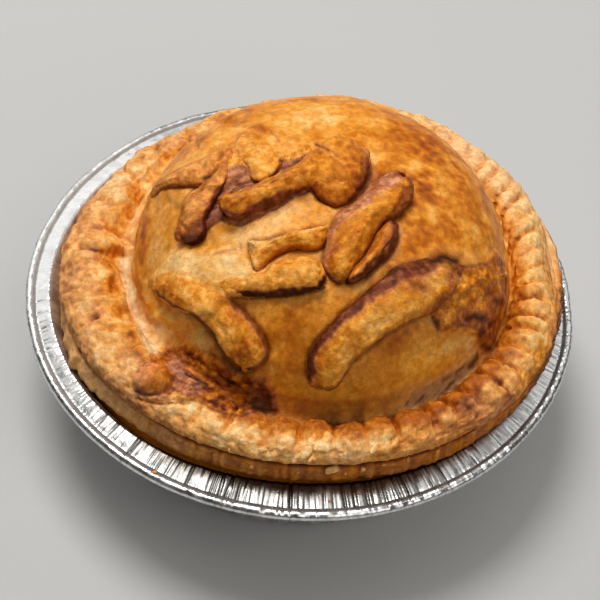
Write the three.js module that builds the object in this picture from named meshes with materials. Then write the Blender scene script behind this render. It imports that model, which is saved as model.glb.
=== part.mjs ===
// A round steak and cheese pie in its own fluted foil tin.
// The pie is uncut, so it is one solid: it fills the tin, has a crimped rim standing over the
// tin's flange and a tall domed lid. Strips of pastry lie on the lid.
// Millimetres, +Z up, origin at the centre of the tin's flat base. -Y is the front.
import * as THREE from 'three';
import { ParametricGeometry } from 'three/addons/geometries/ParametricGeometry.js';

// ---------------------------------------------------------------- driving dimensions
// Foil tin
const TIN_OUTER_R = 62.5;        // outside of the rolled bead
const TIN_BEAD_R = 1.2;          // half the bead's thickness
const TIN_TOP_Z = 30.0;          // top of the bead
const TIN_FLANGE_IN_R = 57.2;    // flange turns down into the wall here
const TIN_FLANGE_IN_Z = 28.5;
const TIN_FLANGE_OUT_R = 59.9;   // foot of the bead
const TIN_FLANGE_OUT_Z = 28.95;
const TIN_BASE_R = 43.5;         // flat base
const TIN_WALL_TOP = [56.4, 27.2];
const TIN_WALL_FOOT = [45.4, 1.6];
const TIN_WALL_T = 0.5;
const TIN_PLEATS = 36;           // pleats pressed round the flange
const TIN_PLEAT_H = 0.2;
const TIN_SEGMENTS = 72;

// Pie
const PIE_GAP = 0.35;            // clearance between the pie and its tin
const PIE_SEGMENTS = 96;
const CRIMPS = 48;               // pinches round the rim
const CRIMP_DEPTH = 0.7;
const RIM_SHIFT = [2.0, 0.5];    // the rim sits a little off the tin's axis
const CREST_SHIFT = [2.6, 0.3];
const VALLEY_SHIFT = [3.3, 0.1];
const BAND_R = 57.0;             // lower crust, where it rolls over the flange
const BAND_FOOT_Z = 30.3;
const BAND_TOP_Z = 33.8;
const SEAM_R = 55.4;             // seam between lower crust and lid
const SEAM_Z = 35.5;
const RIM_R = 56.4;              // outer edge of the lid
const CREST_R = 50.6;            // top of the crimped rim
const CREST_Z = 43.0;
const VALLEY_R = 43.8;           // furrow between rim and dome
const VALLEY_Z = 37.7;

// The rim has slumped at the back left and bulges a little at the front left.
const SLUMP_AT = 150, SLUMP_WIDE = 26, SLUMP_IN = 3.0, SLUMP_DOWN = 1.4;
const BULGE_AT = -151, BULGE_WIDE = 13, BULGE_OUT = 1.4;

// Domed lid: z = DOME_FOOT_Z + DOME_H * sqrt(1 - rho^DOME_POWER)
const DOME_C = [3.8, 0.0];
const DOME_R = 41.8;
const DOME_FOOT_Z = 37.0;
const DOME_H = 30.0;
const DOME_POWER = 3.4;
const DOME_RINGS = [0.992, 0.965, 0.915, 0.84, 0.73, 0.58, 0.36, 0.0];

// Pastry strips: centreline over the lid, width along it and height above the lid
const STRIP_GAP = 0.35;
const STRIP_ROUND = 12;          // faces round a strip
const STRIP_ALONG = 8;           // faces along a strip
const STRIPS = [
  { name: 'pastry_strip_1', path: [[-31.9, -3.2], [-29.9, 0.2], [-26.2, -0.8], [-23.3, -0.9]], width: [5.4, 5.6, 5.2, 4.6], height: 2.2 },
  { name: 'pastry_strip_2', path: [[-23.0, -17.4], [-23.4, -12.8], [-21.5, -8.8], [-19.8, -5.4], [-18.5, -1.6], [-17.5, 2.4]], width: [4.8, 5.6, 5.0, 4.4, 4.2, 3.8], height: 3.4 },
  { name: 'pastry_strip_3', path: [[-16.4, -13.6], [-11.7, -11.0], [-6.9, -7.8], [-2.7, -4.5], [1.8, -0.6], [6.6, 2.9], [9.4, 0.8]], width: [4.0, 4.6, 4.8, 4.8, 5.2, 6.4, 5.6], height: 3.8 },
  { name: 'pastry_strip_4', path: [[0.6, -6.6], [4.5, -7.3], [8.2, -5.6], [9.8, -2.0]], width: [4.6, 5.2, 4.8, 3.2], height: 3.6 },
  { name: 'pastry_strip_5', path: [[-15.0, 3.9], [-10.9, 2.1], [-6.3, 4.1], [-1.6, 6.0]], width: [5.2, 6.8, 5.8, 3.6], height: 1.8 },
  { name: 'pastry_strip_6', path: [[18.6, -0.6], [15.6, -7.9], [11.9, -14.6], [8.5, -21.4], [6.2, -26.6]], width: [5.4, 6.2, 6.2, 5.8, 5.0], height: 4.0 },
  { name: 'pastry_strip_7', path: [[17.7, -13.2], [16.0, -17.3], [13.7, -21.0], [11.5, -25.4], [9.2, -28.0]], width: [2.0, 2.3, 2.3, 2.3, 2.0], height: 2.6 },
  { name: 'pastry_strip_8', path: [[-10.6, -22.8], [-5.5, -21.5], [-0.5, -20.2], [4.6, -18.0]], width: [5.6, 4.6, 3.8, 3.2], height: 3.4 },
  { name: 'pastry_strip_9', path: [[-14.0, -28.2], [-7.1, -28.0], [-1.1, -27.0], [4.2, -26.4]], width: [3.6, 4.2, 4.4, 3.6], height: 3.6 },
  { name: 'pastry_strip_10', path: [[-27.6, -19.8], [-22.3, -25.6], [-16.8, -29.9], [-12.8, -33.8], [-9.2, -36.8], [-7.2, -38.2]], width: [4.4, 5.2, 5.0, 4.8, 4.2, 3.6], height: 4.2 },
  { name: 'pastry_strip_11', path: [[5.2, -39.8], [8.2, -37.0], [12.2, -33.9], [17.2, -30.0], [22.4, -25.9], [27.6, -21.4]], width: [4.6, 5.4, 6.0, 6.2, 6.0, 5.4], height: 4.4 },
];

// ---------------------------------------------------------------- helpers
const rad = THREE.MathUtils.degToRad;

// 1 at angle `at` (degrees), fading to 0 over about `wide` degrees either side.
function hump(theta, at, wide) {
  const d = Math.atan2(Math.sin(theta - rad(at)), Math.cos(theta - rad(at)));
  return Math.exp(-((d / rad(wide)) ** 2));
}

// A closed solid of revolution whose vertices are then moved by move(level, theta, vertex).
function lathe(levels, segments, move) {
  const profile = levels.map((l) => new THREE.Vector2(l.r, l.z));
  const geometry = new THREE.LatheGeometry(profile, segments);
  geometry.rotateX(Math.PI / 2);
  const position = geometry.getAttribute('position');
  const vertex = new THREE.Vector3();
  for (let i = 0; i <= segments; i++) {
    const theta = ((i % segments) / segments) * 2 * Math.PI - Math.PI / 2;
    for (let j = 0; j < levels.length; j++) {
      const k = i * levels.length + j;
      move(levels[j], theta, vertex.fromBufferAttribute(position, k));
      position.setXYZ(k, vertex.x, vertex.y, vertex.z);
    }
  }
  geometry.computeVertexNormals();
  return geometry;
}

// Height of the domed lid over (x, y), and its outward normal there.
function domePoint(x, y, point, normal) {
  const dx = x - DOME_C[0], dy = y - DOME_C[1];
  const r = Math.max(Math.hypot(dx, dy), 1e-6);
  const rho = Math.min(r / DOME_R, 0.995);
  const root = Math.sqrt(1 - rho ** DOME_POWER);
  const slope = (DOME_H * DOME_POWER * rho ** (DOME_POWER - 1)) / (2 * root * DOME_R);
  point.set(x, y, DOME_FOOT_Z + DOME_H * root);
  normal.set((slope * dx) / r, (slope * dy) / r, 1).normalize();
}

// Value of a short list of numbers at t = 0..1 along it.
function along(list, t) {
  const s = t * (list.length - 1), i = Math.min(Math.floor(s), list.length - 2);
  return THREE.MathUtils.lerp(list[i], list[i + 1], s - i);
}

const pastry = (hex) => new THREE.MeshStandardMaterial({ color: hex, roughness: 0.5, metalness: 0 });

// ---------------------------------------------------------------- foil tin
const [wallX, wallZ] = [TIN_WALL_TOP[0] - TIN_WALL_FOOT[0], TIN_WALL_TOP[1] - TIN_WALL_FOOT[1]];
const wallLength = Math.hypot(wallX, wallZ);
const inset = [(-TIN_WALL_T * wallZ) / wallLength, (TIN_WALL_T * wallX) / wallLength];
const wallAt = (t, k) => ({
  r: TIN_WALL_FOOT[0] + wallX * t + inset[0] * k,
  z: TIN_WALL_FOOT[1] + wallZ * t + inset[1] * k,
});
const beadAt = (degrees) => ({
  r: TIN_OUTER_R - TIN_BEAD_R + TIN_BEAD_R * Math.cos(rad(degrees)),
  z: TIN_TOP_Z - TIN_BEAD_R + TIN_BEAD_R * Math.sin(rad(degrees)),
});
const tinLevels = [
  { r: 0, z: 0 },
  { r: TIN_BASE_R, z: 0 },
  wallAt(0, 0), wallAt(0.5, 0), wallAt(1, 0),
  { r: TIN_FLANGE_IN_R + 0.1, z: TIN_FLANGE_IN_Z - 0.6, pleat: 1 },
  { r: TIN_FLANGE_OUT_R + 0.3, z: TIN_FLANGE_OUT_Z - 0.7, pleat: 0.6 },
  beadAt(-95), beadAt(-45), beadAt(0), beadAt(45), beadAt(90), beadAt(140),
  { r: TIN_FLANGE_OUT_R, z: TIN_FLANGE_OUT_Z, pleat: 0.6 },
  { r: TIN_FLANGE_IN_R, z: TIN_FLANGE_IN_Z, pleat: 1 },
  wallAt(1, 1), wallAt(0.5, 1), wallAt(0, 1),
  { r: TIN_BASE_R - 0.2, z: TIN_WALL_T },
  { r: 0, z: TIN_WALL_T },
];
const tin = new THREE.Mesh(
  lathe(tinLevels, TIN_SEGMENTS, (level, theta, v) => {
    v.z += (level.pleat ?? 0) * TIN_PLEAT_H * Math.cos(TIN_PLEATS * theta);
  }),
  new THREE.MeshStandardMaterial({ color: 0xc8c8c6, roughness: 0.3, metalness: 1 }),
);
tin.name = 'foil_tin';

// ---------------------------------------------------------------- pie
const fill = (t) => ({ r: wallAt(t, 1).r - PIE_GAP - 0.1, z: wallAt(t, 1).z + 0.1 });
const pieLevels = [
  { r: 0, z: TIN_WALL_T + PIE_GAP },
  { r: TIN_BASE_R - 0.6, z: TIN_WALL_T + PIE_GAP },
  fill(0), fill(0.5), fill(0.97),
  { r: 55.5, z: BAND_FOOT_Z - 1.0, shift: RIM_SHIFT, part: 0.6 },
  { r: BAND_R, z: BAND_FOOT_Z, shift: RIM_SHIFT, slump: 0.6, bulge: 1 },
  { r: BAND_R + 0.2, z: BAND_TOP_Z, shift: RIM_SHIFT, slump: 0.7, bulge: 1 },
  { r: SEAM_R, z: SEAM_Z, shift: RIM_SHIFT, slump: 0.8, bulge: 0.6 },
  { r: RIM_R, z: SEAM_Z + 1.0, shift: RIM_SHIFT, slump: 1, crimp: 0.6 },
  { r: RIM_R - 0.4, z: 39.4, shift: RIM_SHIFT, slump: 1, crimp: 0.9 },
  { r: 53.7, z: 42.1, shift: RIM_SHIFT, slump: 1, crimp: 1 },
  { r: CREST_R, z: CREST_Z, shift: CREST_SHIFT, slump: 0.9, crimp: 0.8 },
  { r: 47.5, z: 41.3, shift: CREST_SHIFT, slump: 0.5, crimp: 0.5 },
  { r: 45.4, z: 38.8, shift: VALLEY_SHIFT, slump: 0.2, crimp: 0.2 },
  { r: VALLEY_R, z: VALLEY_Z, shift: VALLEY_SHIFT },
  ...DOME_RINGS.map((rho) => ({
    r: rho * DOME_R,
    z: DOME_FOOT_Z + DOME_H * Math.sqrt(1 - rho ** DOME_POWER),
    shift: DOME_C,
  })),
];
const pie = new THREE.Mesh(
  lathe(pieLevels, PIE_SEGMENTS, (level, theta, v) => {
    const slump = (level.slump ?? 0) * hump(theta, SLUMP_AT, SLUMP_WIDE);
    const bulge = (level.bulge ?? 0) * hump(theta, BULGE_AT, BULGE_WIDE);
    const pinch = (level.crimp ?? 0) * CRIMP_DEPTH * Math.cos(CRIMPS * theta);
    const out = bulge * BULGE_OUT - slump * SLUMP_IN + pinch;
    const shift = level.shift ?? [0, 0], part = level.part ?? 1;
    v.x += out * Math.cos(theta) + shift[0] * part;
    v.y += out * Math.sin(theta) + shift[1] * part;
    v.z += 0.4 * pinch - slump * SLUMP_DOWN;
  }),
  pastry(0xc88a48),
);
pie.name = 'pie';

// ---------------------------------------------------------------- pastry strips
function stripGeometry({ path, width, height }) {
  const curve = new THREE.CatmullRomCurve3(path.map(([x, y]) => new THREE.Vector3(x, y, 0)), false, 'centripetal');
  const foot = new THREE.Vector3(), normal = new THREE.Vector3();
  return new ParametricGeometry((u, v, target) => {
    const t = 0.5 - 0.5 * Math.cos(Math.PI * v);
    const c = curve.getPoint(t), d = curve.getTangent(t);
    const end = Math.sqrt(Math.max(0, 1 - Math.abs(2 * t - 1) ** 6));
    const phi = 2 * Math.PI * u;
    const side = 0.5 * along(width, t) * end * Math.cos(phi);
    const rise = phi < Math.PI ? height * end * Math.max(Math.sin(phi), 0) ** 0.7 : 0;
    domePoint(c.x - d.y * side, c.y + d.x * side, foot, normal);
    target.copy(foot).addScaledVector(normal, STRIP_GAP + rise);
  }, STRIP_ROUND, STRIP_ALONG);
}
const strips = new THREE.Group();
STRIPS.forEach((strip, i) => {
  const mesh = new THREE.Mesh(stripGeometry(strip), pastry(i % 2 ? 0xbf8040 : 0xc68c4c));
  mesh.name = strip.name;
  strips.add(mesh);
});

const part = new THREE.Group();
part.add(tin, pie, strips);

export default part;
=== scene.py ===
import math

import bpy
import numpy as np
from mathutils import Matrix


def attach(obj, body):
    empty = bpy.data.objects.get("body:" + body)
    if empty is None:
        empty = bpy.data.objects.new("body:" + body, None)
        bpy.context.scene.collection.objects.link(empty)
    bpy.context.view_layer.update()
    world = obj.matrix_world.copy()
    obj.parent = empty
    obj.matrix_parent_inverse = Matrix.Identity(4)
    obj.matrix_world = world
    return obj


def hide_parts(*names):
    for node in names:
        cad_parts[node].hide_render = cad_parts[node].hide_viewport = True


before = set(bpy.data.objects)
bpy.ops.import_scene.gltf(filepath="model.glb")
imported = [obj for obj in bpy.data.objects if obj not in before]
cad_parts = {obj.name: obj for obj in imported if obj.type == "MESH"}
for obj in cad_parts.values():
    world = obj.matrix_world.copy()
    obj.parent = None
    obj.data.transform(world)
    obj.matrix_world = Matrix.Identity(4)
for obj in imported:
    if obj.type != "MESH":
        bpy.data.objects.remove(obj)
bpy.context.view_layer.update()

# A baked pie with a tall domed lid, a crimped flaky rim and pastry strips on the lid, in a foil tin.
# Lengths are millimetres until a mesh is made, then metres. Front is -Y.

# ------------------------------------------------------------------ viewing frame (600 x 600)
ELEV, ROLL = math.radians(48.814), math.radians(5.753)
DIST, FPX = 386.29, 1701.4
AIM = np.array([-0.040, -3.696, 30.0])
BACK = np.array([0.0, -math.cos(ELEV), math.sin(ELEV)])
UP0 = np.array([0.0, math.sin(ELEV), math.cos(ELEV)])
RIGHT = np.array([1.0, 0.0, 0.0]) * math.cos(ROLL) + UP0 * math.sin(ROLL)
UP = -np.array([1.0, 0.0, 0.0]) * math.sin(ROLL) + UP0 * math.cos(ROLL)
EYE = AIM + BACK * DIST


def project(p):
    d = p - EYE
    z = -(d @ BACK)
    return 300 + FPX * (d @ RIGHT) / z, 300 - FPX * (d @ UP) / z


def facing(p, n):
    d = EYE - p
    d /= np.linalg.norm(d, axis=-1, keepdims=True)
    return (d * n).sum(-1)


# ------------------------------------------------------------------ small maths
def smooth(x, a, b):
    t = np.clip((x - a) / (b - a), 0.0, 1.0)
    return t * t * (3 - 2 * t)


def lerp(a, b, t):
    return a + (b - a) * t


def _cell(ix, iy, iz, seed):
    m = np.uint64(0xFFFFFFFF)
    h = (ix.astype(np.int64) * 73856093) ^ (iy.astype(np.int64) * 19349663) ^ (iz.astype(np.int64) * 83492791)
    h = (h ^ (seed * 40503 + 12345)).astype(np.uint64) & m
    h = ((h ^ (h >> np.uint64(15))) * np.uint64(2246822519)) & m
    h = ((h ^ (h >> np.uint64(13))) * np.uint64(3266489917)) & m
    h = h ^ (h >> np.uint64(16))
    return h.astype(np.float64) / 2147483647.5 - 1.0


def noise(p, scale, seed=0):
    q = p / scale
    i = np.floor(q).astype(np.int64)
    f = q - i
    f = f * f * f * (f * (f * 6 - 15) + 10)
    x, y, z = i[..., 0], i[..., 1], i[..., 2]
    fx, fy, fz = f[..., 0], f[..., 1], f[..., 2]
    c = lambda a, b, d: _cell(x + a, y + b, z + d, seed)
    x00 = lerp(c(0, 0, 0), c(1, 0, 0), fx)
    x10 = lerp(c(0, 1, 0), c(1, 1, 0), fx)
    x01 = lerp(c(0, 0, 1), c(1, 0, 1), fx)
    x11 = lerp(c(0, 1, 1), c(1, 1, 1), fx)
    return lerp(lerp(x00, x10, fy), lerp(x01, x11, fy), fz)


TURN = np.array([[0.36, 0.48, -0.8], [-0.8, 0.6, 0.0], [0.48, 0.64, 0.6]])


def fbm(p, scale, seed=0, octaves=3, gain=0.5):
    out, amp, tot, q = 0.0, 1.0, 0.0, p
    for k in range(octaves):
        out = out + amp * noise(q, scale, seed + 17 * k)
        tot += amp
        amp *= gain
        scale /= 2.03
        q = q @ TURN.T
    return np.clip(1.75 * out / tot, -1.2, 1.2)


def ridged(p, scale, seed=0, octaves=2):
    out, amp, tot, q = 0.0, 1.0, 0.0, p
    for k in range(octaves):
        out = out + amp * (1 - 2 * np.abs(noise(q, scale, seed + 31 * k)))
        tot += amp
        amp *= 0.5
        scale /= 2.1
        q = q @ TURN.T
    return out / tot


def terrace(x, steps, sharp=0.75):
    y = x * steps
    b = np.floor(y)
    return (b + smooth(y - b, sharp, 1.0)) / steps


def seg_dist(u, v, pts):
    best = np.full(np.shape(u), 1e9)
    for (x0, y0), (x1, y1) in zip(pts[:-1], pts[1:]):
        dx, dy = x1 - x0, y1 - y0
        t = np.clip(((u - x0) * dx + (v - y0) * dy) / max(dx * dx + dy * dy, 1e-9), 0, 1)
        best = np.minimum(best, np.hypot(u - x0 - t * dx, v - y0 - t * dy))
    return best


def poly_in(u, v, pts):
    """Signed distance to a closed outline, positive inside."""
    ring = list(pts) + [pts[0]]
    d = seg_dist(u, v, ring)
    inside = np.zeros(np.shape(u), bool)
    for (x0, y0), (x1, y1) in zip(ring[:-1], ring[1:]):
        if y0 == y1:
            continue
        hit = ((y0 > v) != (y1 > v)) & (u < (x1 - x0) * (v - y0) / (y1 - y0) + x0)
        inside ^= hit
    return np.where(inside, d, -d)


def blob(u, v, cx, cy, rx, ry, deg=0.0):
    c, s = math.cos(math.radians(deg)), math.sin(math.radians(deg))
    a, b = (u - cx) * c + (v - cy) * s, -(u - cx) * s + (v - cy) * c
    return np.exp(-((a / rx) ** 2 + (b / ry) ** 2))


def unit(a):
    return a / np.maximum(np.linalg.norm(a, axis=-1, keepdims=True), 1e-12)


def spline(pts, n):
    """Points evenly spaced along a smooth line through pts."""
    p = np.asarray(pts, float)
    t = np.r_[0, np.cumsum(np.maximum(np.linalg.norm(np.diff(p, axis=0), axis=1), 1e-6) ** 0.5)]
    fine = []
    for k in range(len(p) - 1):
        a, b = p[k], p[k + 1]
        h = t[k + 1] - t[k]
        ta = (p[k + 1] - p[k - 1]) / (t[k + 1] - t[k - 1]) if k > 0 else (b - a) / h
        tb = (p[k + 2] - p[k]) / (t[k + 2] - t[k]) if k + 2 < len(p) else (b - a) / h
        s = np.linspace(0, 1, 24, endpoint=(k == len(p) - 2))[:, None]
        fine.append((2 * s**3 - 3 * s**2 + 1) * a + (s**3 - 2 * s**2 + s) * h * ta + (-2 * s**3 + 3 * s**2) * b + (s**3 - s**2) * h * tb)
    fine = np.concatenate(fine)
    d = np.r_[0, np.cumsum(np.linalg.norm(np.diff(fine, axis=0), axis=1))]
    w = np.linspace(0, d[-1], n)
    return np.stack([np.interp(w, d, fine[:, k]) for k in range(p.shape[1])], 1)


def grid_normals(g, closed=True):
    """Outward normals of a grid of rows (levels) and columns (angles)."""
    if closed:
        du = np.roll(g, -1, 1) - np.roll(g, 1, 1)
    else:
        du = np.gradient(g, axis=1)
    dv = np.gradient(g, axis=0)
    return unit(np.cross(du, dv))


# ------------------------------------------------------------------ lid dome
DOME_C = np.array([3.8, 0.0])
DOME_R, DOME_FOOT, DOME_H, DOME_POW = 41.8, 37.0, 30.0, 3.4


def dome_z(x, y):
    rho = np.hypot(x - DOME_C[0], y - DOME_C[1]) / DOME_R
    return DOME_FOOT + DOME_H * np.sqrt(np.maximum(1 - np.minimum(rho, 1.0) ** DOME_POW, 0.0))


def dome_n(x, y):
    e = 0.05
    r = np.hypot(x - DOME_C[0], y - DOME_C[1])
    lim = np.where(r > DOME_R * 0.985, DOME_R * 0.985 / np.maximum(r, 1e-6), 1.0)
    x, y = DOME_C[0] + (x - DOME_C[0]) * lim, DOME_C[1] + (y - DOME_C[1]) * lim
    gx = (dome_z(x + e, y) - dome_z(x - e, y)) / (2 * e)
    gy = (dome_z(x, y + e) - dome_z(x, y - e)) / (2 * e)
    return unit(np.stack([-gx, -gy, np.ones_like(gx)], -1))


def cast(uv, lift):
    """Where sight lines meet the dome raised by lift."""
    uv = np.asarray(uv, float)
    d = unit(-BACK * FPX + (uv[:, :1] - 300) * RIGHT - (uv[:, 1:2] - 300) * UP)
    lift = np.broadcast_to(lift, len(uv))
    f = lambda s: (EYE + d * s[:, None])
    below = lambda p: p[:, 2] < dome_z(p[:, 0], p[:, 1]) + lift
    lo = np.full(len(uv), 240.0)
    hi = np.full(len(uv), 480.0)
    found = np.zeros(len(uv), bool)
    for s in np.arange(240.0, 480.0, 0.5):
        now = below(f(np.full(len(uv), s))) & ~found
        hi[now] = s
        lo[now] = s - 0.5
        found |= now
    for _ in range(24):
        mid = (lo + hi) / 2
        b = below(f(mid))
        hi = np.where(b, mid, hi)
        lo = np.where(b, lo, mid)
    return f((lo + hi) / 2)


# ------------------------------------------------------------------ strips on the lid
# Each strip is drawn in the viewing frame: side a and side b, both from its first tip to its last tip,
# and its height h, which hs scales along the strip. wa, wb: how wide each side is rounded, in mm.
# fa, fb: how far each side flows into the lid, from 0 (a crisp overhanging edge) to 1 (no edge), along
# the strip. sa, sb: stain of each side (how strong, how dark, how wide); on the sides turned from the light
# it is partly painted shade. bk: baked darker or paler. wash: a thin stain over all of it (how strong, how dark).
# The foot of each crisp side is painted dark along the strip, as gravy stain and painted shade, by its own list.
STRIPS = {
    "pastry_strip_1": dict(
        a=[(153, 200), (154, 191), (159, 182), (172, 172), (190, 164), (210, 157), (227, 150)],
        b=[(153, 200), (157, 195), (162, 190), (170, 188), (182, 187), (193, 187), (203, 185), (213, 177), (222, 165), (227, 150)],
        h=2.6, hs=[0.15, 0.8, 1.0, 1.0, 0.9], wa=4.4, fa=[0.8, 0.55, 0.5, 0.55, 0.8, 1.0], wb=1.8, fb=[0.8, 0.35, 0.0, 0.1, 0.9, 1.0], sb=(0.60, 0.60, 3.0), bk=0.05, wash=(0.18, 0.10), seat_stain_and_shade=[0.0, 0.4, 0.7, 0.6]),
    "pastry_strip_2": dict(
        a=[(190, 244), (186, 243), (182, 238), (179, 228), (181, 215), (186, 204), (193, 195), (202, 187), (211, 176), (220, 163), (229, 149)],
        b=[(190, 244), (199, 241), (206, 233), (206, 223), (210, 211), (216, 200), (225, 184), (231, 173), (235, 163), (235, 154), (229, 149)],
        h=4.0, hs=[1.0, 1.0, 1.0, 0.8, 0.5, 0.1], wa=3.0, fa=[0.0, 0.0, 0.0, 0.1, 0.9, 1.0], wb=2.8, fb=[0.0, 0.0, 0.0, 0.1, 0.7, 1.0, 1.0], sa=(0.45, 0.55, 2.0), sb=(0.92, 0.74, [3, 4, 5, 4, 3, 2]), bk=0.09, wash=(0.20, 0.10), seat_stain_and_shade=[0.9, 0.9, 0.7, 0.2, 0.0]),
    "pastry_strip_3": dict(
        a=[(225, 217), (224, 210), (228, 203), (237, 195), (248, 188), (260, 183), (272, 179), (283, 174), (295, 166), (308, 156), (322, 148), (336, 143), (348, 143), (360, 149), (368, 158), (370, 170)],
        b=[(225, 217), (232, 221), (242, 219), (252, 213), (265, 207), (282, 199), (294, 194), (306, 191), (318, 192), (332, 192), (346, 194), (358, 192), (366, 183), (370, 170)],
        h=4.4, wa=3.4, fa=[0.0, 0.0, 0.1, 0.2, 0.6, 1.0, 1.0, 0.5, 0.0], wb=3.2, fb=[0.0], sa=(0.35, 0.40, 2.5), sb=(0.90, 0.60, [8, 8, 7, 6, 4, 4, 5]), bk=0.13, seat_stain_and_shade=[0.8, 0.6, 0.6, 0.5]),
    "pastry_strip_4": dict(
        a=[(310, 187), (317, 182), (326, 179), (335, 176), (344, 175), (353, 177), (360, 184)],
        b=[(310, 187), (314, 194), (320, 200), (328, 205), (337, 208), (347, 204), (355, 198), (360, 191), (360, 184)],
        h=3.4, wa=3.2, fa=[0.2, 0.2, 0.5, 0.9], wb=3.2, fb=[0.1, 0.0, 0.0, 0.5], sa=(0.45, 0.55, 1.8), sb=(0.55, 0.70, 4.0), bk=0.17, seat_stain_and_shade=[0.6]),
    "pastry_strip_5": dict(
        a=[(236, 150), (238, 141), (246, 134), (258, 131), (272, 136), (282, 146), (288, 156)],
        b=[(236, 150), (240, 157), (246, 164), (251, 172), (257, 182), (264, 180), (272, 174), (279, 167), (284, 161), (288, 156)],
        h=1.9, hs=[0.5, 0.8, 1.0, 1.0, 0.7], wa=9.0, fa=[1.0], wb=2.0, fb=[1.0, 0.3, 0.0, 0.0, 0.0, 0.5, 1.0], sb=(0.35, 0.55, 2.2), bk=-0.01, seat_stain_and_shade=[0.4]),
    "pastry_strip_6": dict(
        a=[(399, 171), (391, 172), (380, 179), (369, 186), (358, 198), (348, 207), (338, 215), (331, 225), (327, 236), (325, 247), (322, 258), (324, 268), (330, 277), (339, 284)],
        b=[(399, 171), (407, 178), (412, 188), (411, 199), (406, 208), (397, 218), (385, 223), (376, 234), (368, 250), (359, 262), (350, 274), (344, 282), (339, 284)],
        h=4.4, wa=4.6, fa=[0.1], wb=2.6, fb=[0.0, 0.0, 0.0, 0.2, 0.3, 0.3, 0.1], sa=(0.70, 0.16, [2, 6, 12, 14, 12, 6, 3, 3, 3]), sb=(0.45, 0.66, 3.0), bk=0.10, seat_stain_and_shade=[0.0, 0.5, 0.7, 0.7, 0.7]),
    "pastry_strip_7": dict(
        a=[(394, 220), (386, 223), (377, 233), (370, 246), (362, 258), (354, 267), (348, 276), (346, 284)],
        b=[(394, 220), (398, 227), (398, 238), (393, 248), (386, 258), (377, 267), (367, 276), (356, 283), (346, 284)],
        h=3.4, wa=2.0, fa=[0.5], wb=3.4, fb=[0.0], sa=(0.4, 0.5, 1.4), sb=(0.92, 0.66, [6, 8, 9, 9, 7]), bk=0.10, seat_stain_and_shade=[0.7]),
    "pastry_strip_8": dict(
        a=[(250, 256), (248, 248), (249, 240), (264, 240), (284, 234), (305, 229), (320, 226), (328, 228), (327, 238)],
        b=[(250, 256), (252, 264), (257, 271), (264, 267), (271, 260), (285, 252), (299, 249), (313, 250), (323, 247), (327, 238)],
        h=3.2, wa=1.4, fa=[0.0], wb=3.4, fb=[0.1], sb=(0.32, 0.60, 2.4), bk=0.0, seat_stain_and_shade=[0.45]),
    "pastry_strip_9": dict(
        a=[(218, 292), (222, 281), (236, 274), (252, 269), (266, 265), (278, 261), (295, 258), (311, 258), (321, 263), (325, 272), (326, 280)],
        b=[(218, 292), (226, 295), (234, 297), (246, 297), (258, 297), (272, 296), (286, 295), (300, 293), (312, 291), (321, 288), (326, 280)],
        h=4.0, hs=[0.15, 0.45, 0.8, 1.0, 1.0], wa=3.4, fa=[1.0, 1.0, 0.8, 0.3, 0.1], wb=2.6, fb=[1.0, 1.0, 0.1, 0.0, 0.0, 0.0, 0.0], sb=(0.97, 0.88, 7.0), bk=0.02, seat_stain_and_shade=[0.0, 0.2, 1.0, 1.0, 1.0]),
    "pastry_strip_10": dict(
        a=[(156, 290), (157, 281), (163, 274), (176, 270), (196, 274), (212, 285), (226, 294), (236, 303), (246, 312), (256, 323), (264, 335), (268, 348), (267, 358), (258, 368), (246, 374)],
        b=[(156, 290), (160, 297), (167, 301), (178, 308), (193, 315), (204, 324), (214, 338), (222, 352), (233, 364), (240, 370), (246, 374)],
        h=4.4, hs=[0.40, 0.45, 0.6, 0.85, 1.0, 1.0, 0.9], wa=3.4, fa=[0.5, 1.0, 1.0, 1.0, 0.2, 0.0, 0.0, 0.0], wb=2.8, fb=[0.8, 0.3, 0.0, 0.0, 0.0, 0.0, 0.0], sa=(0.80, 0.56, [2, 2, 3, 5, 5, 4]), sb=(0.80, 0.86, [1, 2, 3, 3, 2, 2]), bk=0.04, seat_stain_and_shade=[0.1, 0.3, 0.9, 0.9, 0.8]),
    "pastry_strip_11": dict(
        a=[(307, 374), (306, 365), (309, 353), (316, 341), (327, 328), (340, 314), (354, 302), (368, 289), (382, 278), (395, 267), (411, 262), (430, 257), (445, 257), (455, 264), (458, 275)],
        b=[(307, 374), (309, 382), (317, 388), (328, 390), (338, 385), (344, 377), (350, 366), (365, 353), (376, 345), (386, 336), (402, 326), (417, 320), (432, 314), (444, 304), (454, 290), (458, 275)],
        h=4.8, hs=[1.0, 1.0, 1.0, 0.9, 0.6], wa=4.4, fa=[0.1, 0.1, 0.1, 0.1, 0.1, 0.2, 0.8, 1.0], wb=3.0, fb=[0.0, 0.0, 0.0, 0.0, 0.2, 0.8, 1.0], sa=(0.95, 0.60, [8, 9, 10, 11, 12, 17, 18, 9, 4]), sb=(0.45, 0.72, 2.2), bk=0.05, seat_stain_and_shade=[0.8, 0.8, 0.8, 0.5]),
}
# Grooves (-) and ridges (+) across the strips: points, half width, mm.
MARKS = [
    ([(403, 187), (404, 193), (401, 203), (394, 213)], 1.6, -0.6), ([(452, 272), (452, 286), (444, 298), (434, 308)], 1.2, -0.5),
    ([(239, 322), (244, 334), (248, 346), (252, 358)], 1.6, 0.45), ([(336, 374), (348, 361), (364, 348), (382, 338), (398, 329)], 1.0, 0.35),
    ([(203, 275), (212, 284), (223, 290), (232, 296)], 1.2, -0.2), ([(362, 160), (364, 172), (361, 184)], 2.2, -0.5),
    ([(330, 170), (342, 166), (352, 170)], 1.6, -0.4), ([(226, 240), (236, 262)], 0.9, 0.0),
]

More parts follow.
